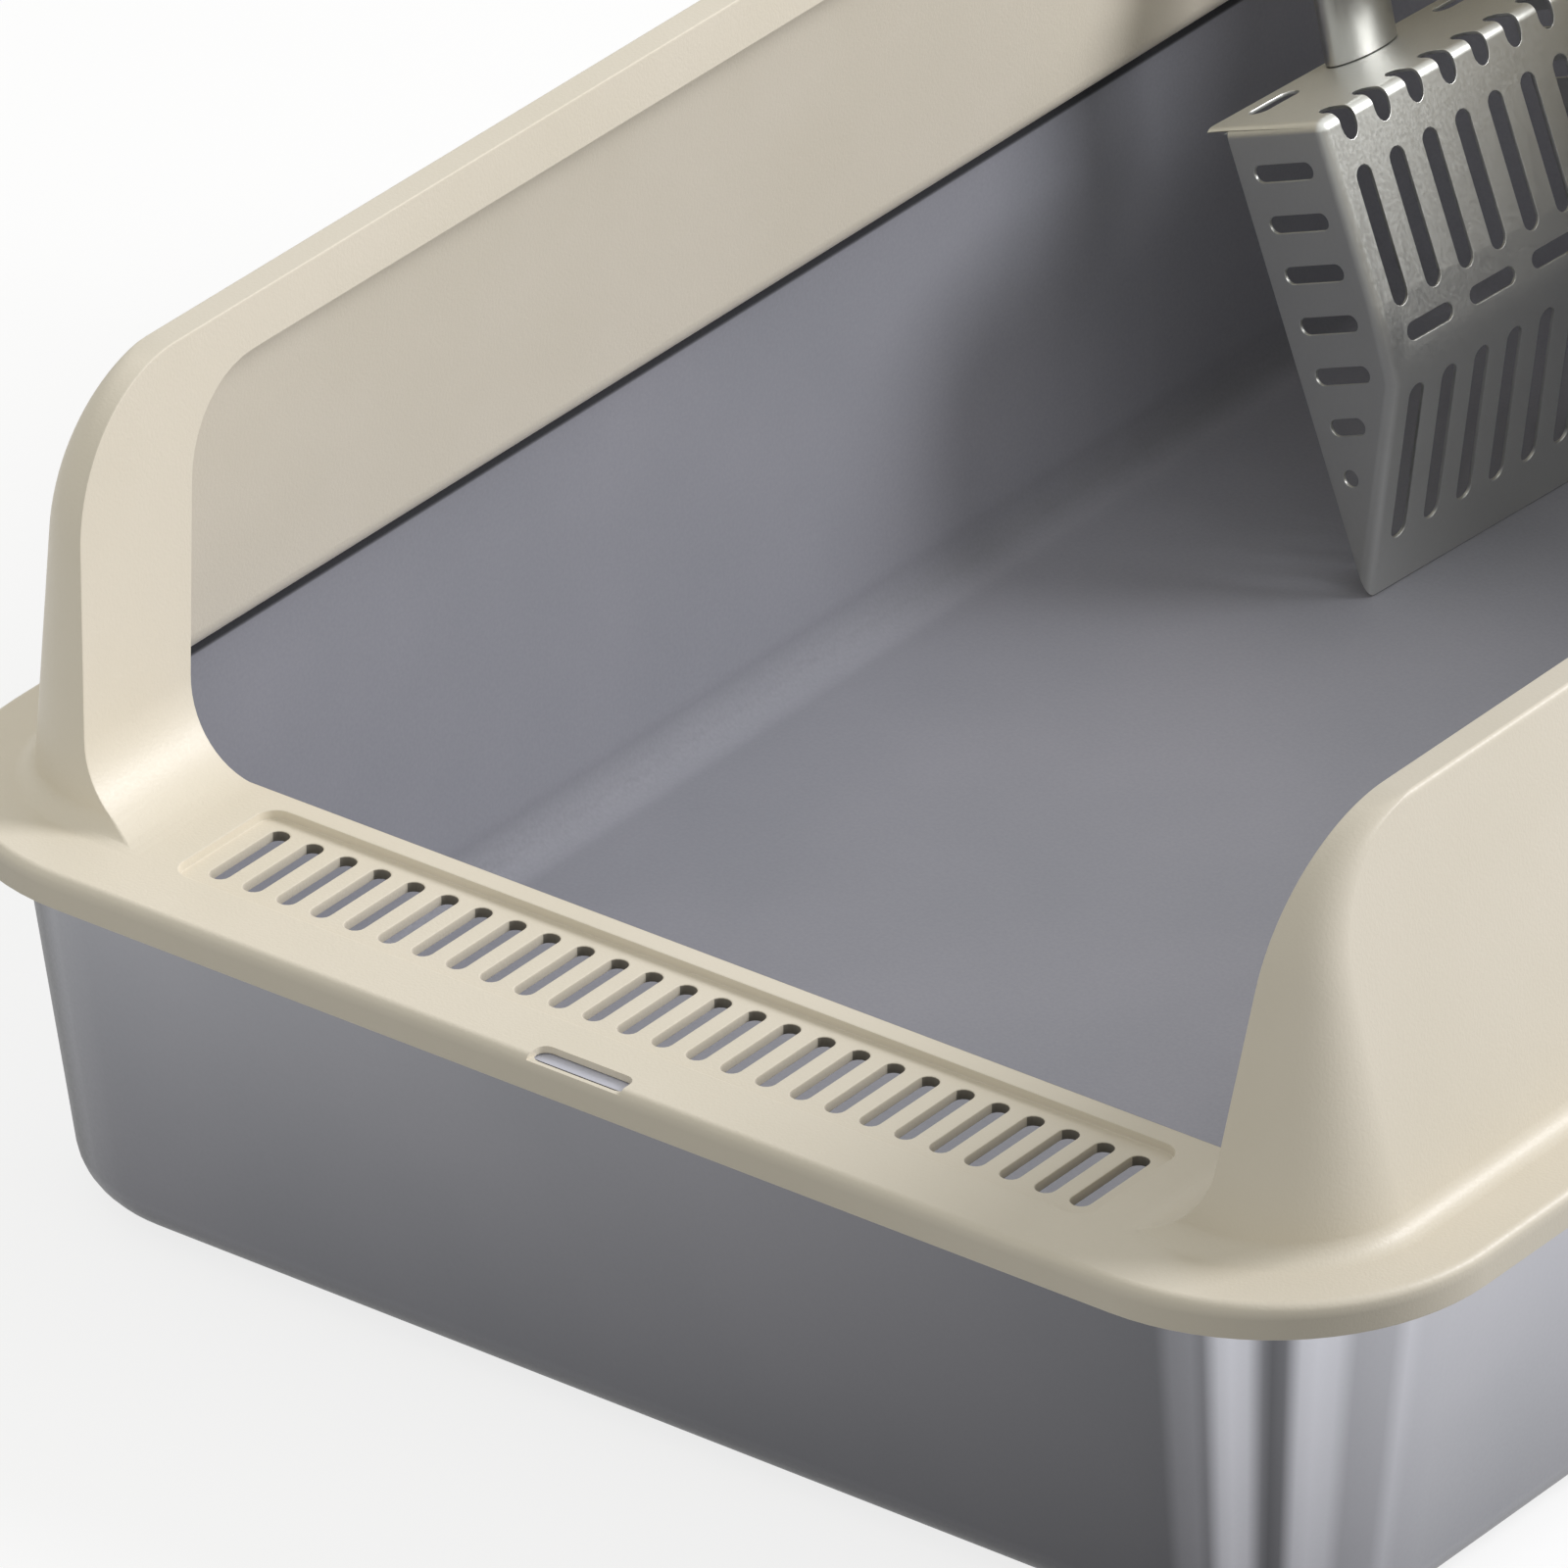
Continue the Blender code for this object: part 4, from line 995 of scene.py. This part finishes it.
def column_places():
    first = SCOOP_WIDTH / 2 - SCOOP_SLOT_PITCH * (SCOOP_SLOT_COLUMNS - 1) / 2
    return [first + SCOOP_SLOT_PITCH * column for column in range(SCOOP_SLOT_COLUMNS)]


def scoop_slots():
    """Floor, ramp, fold and knee slots."""
    ramp_angle = atan2(SCOOP_RAMP_DEPTH, SCOOP_RAMP_LENGTH)
    ramp_along = Vector((cos(ramp_angle), sin(ramp_angle), 0))
    ramp_outward = Vector((-sin(ramp_angle), cos(ramp_angle), 0))
    places = []
    for w in column_places():
        middle = (FLOOR_SLOT_START + FLOOR_SLOT_END) / 2
        places.append((Vector((middle, SCOOP_DEPTH, w)), X_WAY, -Z_WAY, Y_WAY,
                       FLOOR_SLOT_END - FLOOR_SLOT_START, SCOOP_SLOT_WIDTH, CUTTER_REACH))
        middle = (RAMP_SLOT_START + RAMP_SLOT_END) / 2
        places.append((ramp_along * middle + Z_WAY * w, ramp_along, -Z_WAY, ramp_outward,
                       RAMP_SLOT_END - RAMP_SLOT_START, SCOOP_SLOT_WIDTH, CUTTER_REACH))
    first = SCOOP_WIDTH / 2 - KNEE_SLOT_PITCH * (KNEE_SLOT_COUNT - 1) / 2
    for column in range(KNEE_SLOT_COUNT):
        w = first + KNEE_SLOT_PITCH * column
        places.append((Vector((KNEE_SLOT_PLACE, SCOOP_DEPTH, w)), Z_WAY, X_WAY, Y_WAY,
                       KNEE_SLOT_LENGTH, KNEE_SLOT_WIDTH, CUTTER_REACH))
    return pill_cutter("floor slots", places, SLOT_END_STEPS)


def plate_slots():
    """Two slots in the back plate, one on each side of the handle."""
    d = PLATE_SLOT_RIM - SCOOP_PLATE_RISE
    places = [(Vector((SCOOP_LENGTH, d, w)), Z_WAY, Y_WAY, X_WAY,
               PLATE_SLOT_LENGTH, SCOOP_SLOT_WIDTH, CUTTER_REACH)
              for w in (PLATE_SLOT_SIDE, SCOOP_WIDTH - PLATE_SLOT_SIDE)]
    return pill_cutter("plate slots", places, SLOT_END_STEPS)


def fold_slots():
    """Short slots over the fold between floor and back plate."""
    diagonal = (X_WAY + Y_WAY).normalized()
    along = (Y_WAY - X_WAY).normalized()
    places = []
    for w in column_places():
        centre = Vector((SCOOP_LENGTH, SCOOP_DEPTH, w))
        places.append((centre, along, Z_WAY, diagonal, FOLD_SLOT_HALF * 2,
                       SCOOP_SLOT_WIDTH, FOLD_SLOT_REACH))
    return pill_cutter("fold slots", places, SLOT_END_STEPS)


def floor_depth(s):
    if s < SCOOP_RAMP_LENGTH:
        return SCOOP_RAMP_DEPTH * s / SCOOP_RAMP_LENGTH
    share = min((s - SCOOP_RAMP_LENGTH) / (SCOOP_KNEE - SCOOP_RAMP_LENGTH), 1.0)
    return SCOOP_RAMP_DEPTH + (SCOOP_DEPTH - SCOOP_RAMP_DEPTH) * share


def side_slots():
    """Slots in both side walls, shorter towards the tip."""
    places = []
    for column in range(SIDE_SLOT_COUNT):
        s = SIDE_SLOT_FIRST + SIDE_SLOT_PITCH * column
        low = floor_depth(s - SIDE_SLOT_WIDTH / 2) - SIDE_SLOT_FLOOR
        high = min(SIDE_SLOT_RIM, low - SIDE_SLOT_WIDTH * SIDE_SLOT_STRETCH)
        for w in (0.0, SCOOP_WIDTH):
            places.append((Vector((s, (low + high) / 2, w)), Y_WAY, X_WAY, Z_WAY,
                           low - high, SIDE_SLOT_WIDTH, CUTTER_REACH))
    return pill_cutter("side slots", places, SLOT_END_STEPS)


def build_bowl(holder):
    """Folded sheet: floor, ramp, two sides and a back plate, then slotted."""
    bowl = scoop_prism("scoop_sheet", 0.0, scoop_steel())
    bowl.parent = holder
    inside = scoop_prism("bowl inside", SHEET)
    for cutter in (inside, rim_trim(), scoop_slots(), plate_slots(), fold_slots(), side_slots()):
        cutter.parent = holder
        subtract(bowl, cutter)
    return bowl


def oval_ring(breadth, thickness, s):
    """An oval across the handle, its long way along w."""
    return [(s, thickness / 2 * cos(2 * pi * step / HANDLE_SIDES),
             breadth / 2 * sin(2 * pi * step / HANDLE_SIDES)) for step in range(HANDLE_SIDES)]


def build_handle(holder):
    """A straight oval tube, its foot cut to lie flat on the back plate."""
    over = HANDLE_THICKNESS
    outer = [oval_ring(HANDLE_BREADTH, HANDLE_THICKNESS, s) for s in (-over, HANDLE_LENGTH)]
    inner_breadth = HANDLE_BREADTH - 2 * SHEET
    inner_thickness = HANDLE_THICKNESS - 2 * SHEET
    inner = [oval_ring(inner_breadth, inner_thickness, s)
             for s in (-over - SHEET, HANDLE_LENGTH + SHEET)]
    handle = loft("handle_tube", outer, handle_steel())
    bore = loft("handle bore", inner)
    reach = HANDLE_BREADTH
    foot_points = [(s, d, w) for s in (-reach * 2, TOUCH_GAP) for d in (-reach, reach)
                   for w in (-reach, reach)]
    foot_faces = [(0, 1, 3, 2), (4, 6, 7, 5), (0, 4, 5, 1), (2, 3, 7, 6), (0, 2, 6, 4),
                  (1, 5, 7, 3)]
    foot = add_object("handle foot trim", mesh_from("handle foot trim", foot_points, foot_faces))
    foot.rotation_euler = (0.0, 0.0, -HANDLE_BEND)
    for cutter in (bore, foot):
        cutter.parent = holder
        subtract(handle, cutter)
    handle.parent = holder
    shade_smooth_by_angle(handle, FOLD_LIMIT)
    return handle


def build_plug(holder):
    """A plug pressed into the handle's open end."""
    squeeze = 2 * (SHEET + PLUG_CLEAR)
    rings = [oval_ring(HANDLE_BREADTH - squeeze, HANDLE_THICKNESS - squeeze,
                       HANDLE_LENGTH - PLUG_REACH),
             oval_ring(HANDLE_BREADTH - squeeze, HANDLE_THICKNESS - squeeze,
                       HANDLE_LENGTH + TOUCH_GAP),
             oval_ring(HANDLE_BREADTH, HANDLE_THICKNESS, HANDLE_LENGTH + TOUCH_GAP)]
    rings += [oval_ring(HANDLE_BREADTH - 2 * inset, HANDLE_THICKNESS - 2 * inset,
                        HANDLE_LENGTH + PLUG_HEAD - drop)
              for inset, drop in quarter_round(PLUG_HEAD_EDGE, PLUG_EDGE_STEPS)]
    plug = loft("handle_plug", rings, plug_plastic())
    plug.parent = holder
    shade_smooth_by_angle(plug, FOLD_LIMIT)
    return plug


def build_scoop():
    """The bowl, tube and plug. The scoop stands on its tip and leans on the left wall."""
    holder = add_empty("scoop placement", None, scoop_tip(),
                       (-pi / 2, -(pi / 2 + SCOOP_TILT), SCOOP_TURN))
    root = add_empty("handle root", holder, (SCOOP_LENGTH, HANDLE_ROOT, SCOOP_WIDTH / 2),
                     (0.0, 0.0, HANDLE_BEND))
    return build_bowl(holder), build_handle(root), build_plug(root)


def finish_mesh(body, soft=0.0):
    """The body with its modifiers worked in, its sharp edges softened and its normals evened."""
    bpy.context.view_layer.update()
    graph = bpy.context.evaluated_depsgraph_get()
    mesh = bpy.data.meshes.new_from_object(body.evaluated_get(graph))
    mesh.transform(body.matrix_world)
    body.modifiers.clear()
    body.parent = None
    body.matrix_world = Matrix.Identity(4)
    shape = bmesh.new()
    shape.from_mesh(mesh)
    bmesh.ops.remove_doubles(shape, verts=shape.verts, dist=MERGE_DISTANCE)
    bmesh.ops.dissolve_degenerate(shape, edges=shape.edges, dist=MERGE_DISTANCE)
    if soft:
        edges = [edge for edge in shape.edges
                 if edge.is_manifold and edge.calc_face_angle(0.0) > EDGE_LIMIT]
        bmesh.ops.bevel(shape, geom=edges, offset=soft, offset_type="OFFSET", affect="EDGES",
                        segments=2, profile=0.5, clamp_overlap=False)
    for face in shape.faces:
        face.smooth = True
    for edge in shape.edges:
        edge.smooth = not edge.is_manifold or edge.calc_face_angle(0.0) < EDGE_LIMIT
    shape.to_mesh(mesh)
    shape.free()
    body.data = mesh
    normals = body.modifiers.new("even normals", "WEIGHTED_NORMAL")
    normals.keep_sharp = True


def dress(piece, node, body):
    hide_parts(node)
    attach(piece, body)


def drop_cutters():
    for cutter in list(CUTTERS.objects):
        bpy.data.objects.remove(cutter)
    bpy.data.collections.remove(CUTTERS)


def seen_directly(tree):
    """One for rays from the camera and for mirror and glass rays, zero for all others."""
    paths = add_node(tree, "ShaderNodeLightPath")
    mirrored = add_node(tree, "ShaderNodeMath", None,
                        {0: paths.outputs["Is Camera Ray"], 1: paths.outputs["Is Glossy Ray"]},
                        operation="MAXIMUM")
    return add_node(tree, "ShaderNodeMath", None,
                    {0: mirrored.outputs[0], 1: paths.outputs["Is Transmission Ray"]},
                    operation="MAXIMUM").outputs[0]


def add_floor():
    """A pale floor that keeps the box's shadow and is near white where it is seen."""
    bpy.ops.mesh.primitive_grid_add(x_subdivisions=FLOOR_CELLS, y_subdivisions=FLOOR_CELLS,
                                    size=2 * FLOOR_HALF)
    floor = bpy.context.object
    floor.name = "floor"
    material, tree, shader = plain_material("pale floor", FLOOR_BOUNCE, FLOOR_ROUGHNESS, 0.0)
    shader.inputs["Specular IOR Level"].default_value = 0.0
    seen = seen_directly(tree)
    colour = add_node(tree, "ShaderNodeMix", None, {0: seen}, data_type="RGBA")
    colour.inputs[6].default_value = linear(FLOOR_BOUNCE)
    colour.inputs[7].default_value = linear(FLOOR_SEEN)
    tree.links.new(colour.outputs[2], shader.inputs["Base Color"])
    glow = add_node(tree, "ShaderNodeEmission", {"Color": (1.0, 1.0, 1.0, 1.0), "Strength": 1.0})
    share = add_node(tree, "ShaderNodeMath", {1: FLOOR_LIFT}, {0: seen}, operation="MULTIPLY")
    mix = add_node(tree, "ShaderNodeMixShader", None,
                   {"Fac": share.outputs[0], 1: shader.outputs[0], 2: glow.outputs[0]})
    tree.links.new(mix.outputs[0], tree.nodes["Material Output"].inputs["Surface"])
    floor.data.materials.append(material)


def add_world():
    """Even, faintly warm fill light, with a white background where it is seen."""
    world = bpy.data.worlds.new("studio")
    bpy.context.scene.world = world
    world.use_nodes = True
    tree = world.node_tree
    colour = add_node(tree, "ShaderNodeMix", None, {0: seen_directly(tree)}, data_type="RGBA")
    colour.inputs[6].default_value = FILL_COLOUR
    colour.inputs[7].default_value = (1.0, 1.0, 1.0, 1.0)
    tree.links.new(colour.outputs[2], tree.nodes["Background"].inputs["Color"])


def add_key():
    """A soft lamp to the right of the box, behind it."""
    lamp = bpy.data.lights.new("key", "AREA")
    lamp.shape = "DISK"
    lamp.size = KEY_SIZE
    lamp.energy = KEY_POWER
    lamp.color = KEY_COLOUR
    key = bpy.data.objects.new("key", lamp)
    bpy.context.scene.collection.objects.link(key)
    towards = Vector((cos(KEY_AZIMUTH) * cos(KEY_ELEVATION), sin(KEY_AZIMUTH) * cos(KEY_ELEVATION),
                      sin(KEY_ELEVATION)))
    key.location = towards * KEY_DISTANCE + Vector((0.0, 0.0, LEDGE_TOP))
    key.rotation_euler = towards.to_track_quat("Z", "Y").to_euler()


def add_camera():
    back = Vector((sin(VIEW_AZIMUTH) * cos(VIEW_ELEVATION),
                   -cos(VIEW_AZIMUTH) * cos(VIEW_ELEVATION), sin(VIEW_ELEVATION)))
    right = Vector((cos(VIEW_AZIMUTH), sin(VIEW_AZIMUTH), 0.0))
    up = back.cross(right)
    lens = bpy.data.cameras.new("view")
    lens.sensor_width = SENSOR
    lens.lens = SENSOR * FOCAL_SHARE
    lens.clip_end = FLOOR_HALF * 10
    camera = bpy.data.objects.new("view", lens)
    bpy.context.scene.collection.objects.link(camera)
    place = (Vector((0.0, FRONT, LEDGE_TOP)) + back * VIEW_DISTANCE + right * VIEW_SHIFT_RIGHT
             + up * VIEW_SHIFT_UP)
    turned = Matrix((right, up, back)).transposed().to_4x4()
    camera.matrix_world = Matrix.Translation(place) @ turned
    bpy.context.scene.camera = camera


pan = build_pan()
guard = build_guard()
bowl, tube, plug = build_scoop()
finish_mesh(guard, EDGE_SOFT)
subtract(guard, snap_window())
subtract(guard, window_lip())
finish_mesh(guard)
finish_mesh(bowl, EDGE_SOFT / 2)
finish_mesh(tube)
finish_mesh(plug)
finish_mesh(pan)
drop_cutters()
for holder in [piece for piece in PARTS.objects if piece.type == "EMPTY"]:
    bpy.data.objects.remove(holder)
dress(pan, "steel_pan", "pan")
dress(guard, "guard_frame", "guard")
dress(bowl, "scoop_bowl", "scoop")
dress(tube, "scoop_handle", "scoop")
dress(plug, "scoop_end_plug", "scoop")
rubber = foot_rubber()
for name, node in frame["nodes"].items():
    if name.startswith("rubber_foot"):
        for place in node.material_slots:
            place.material = rubber
add_floor()
add_world()
add_key()
add_camera()
bpy.context.scene.view_settings.view_transform = "Standard"
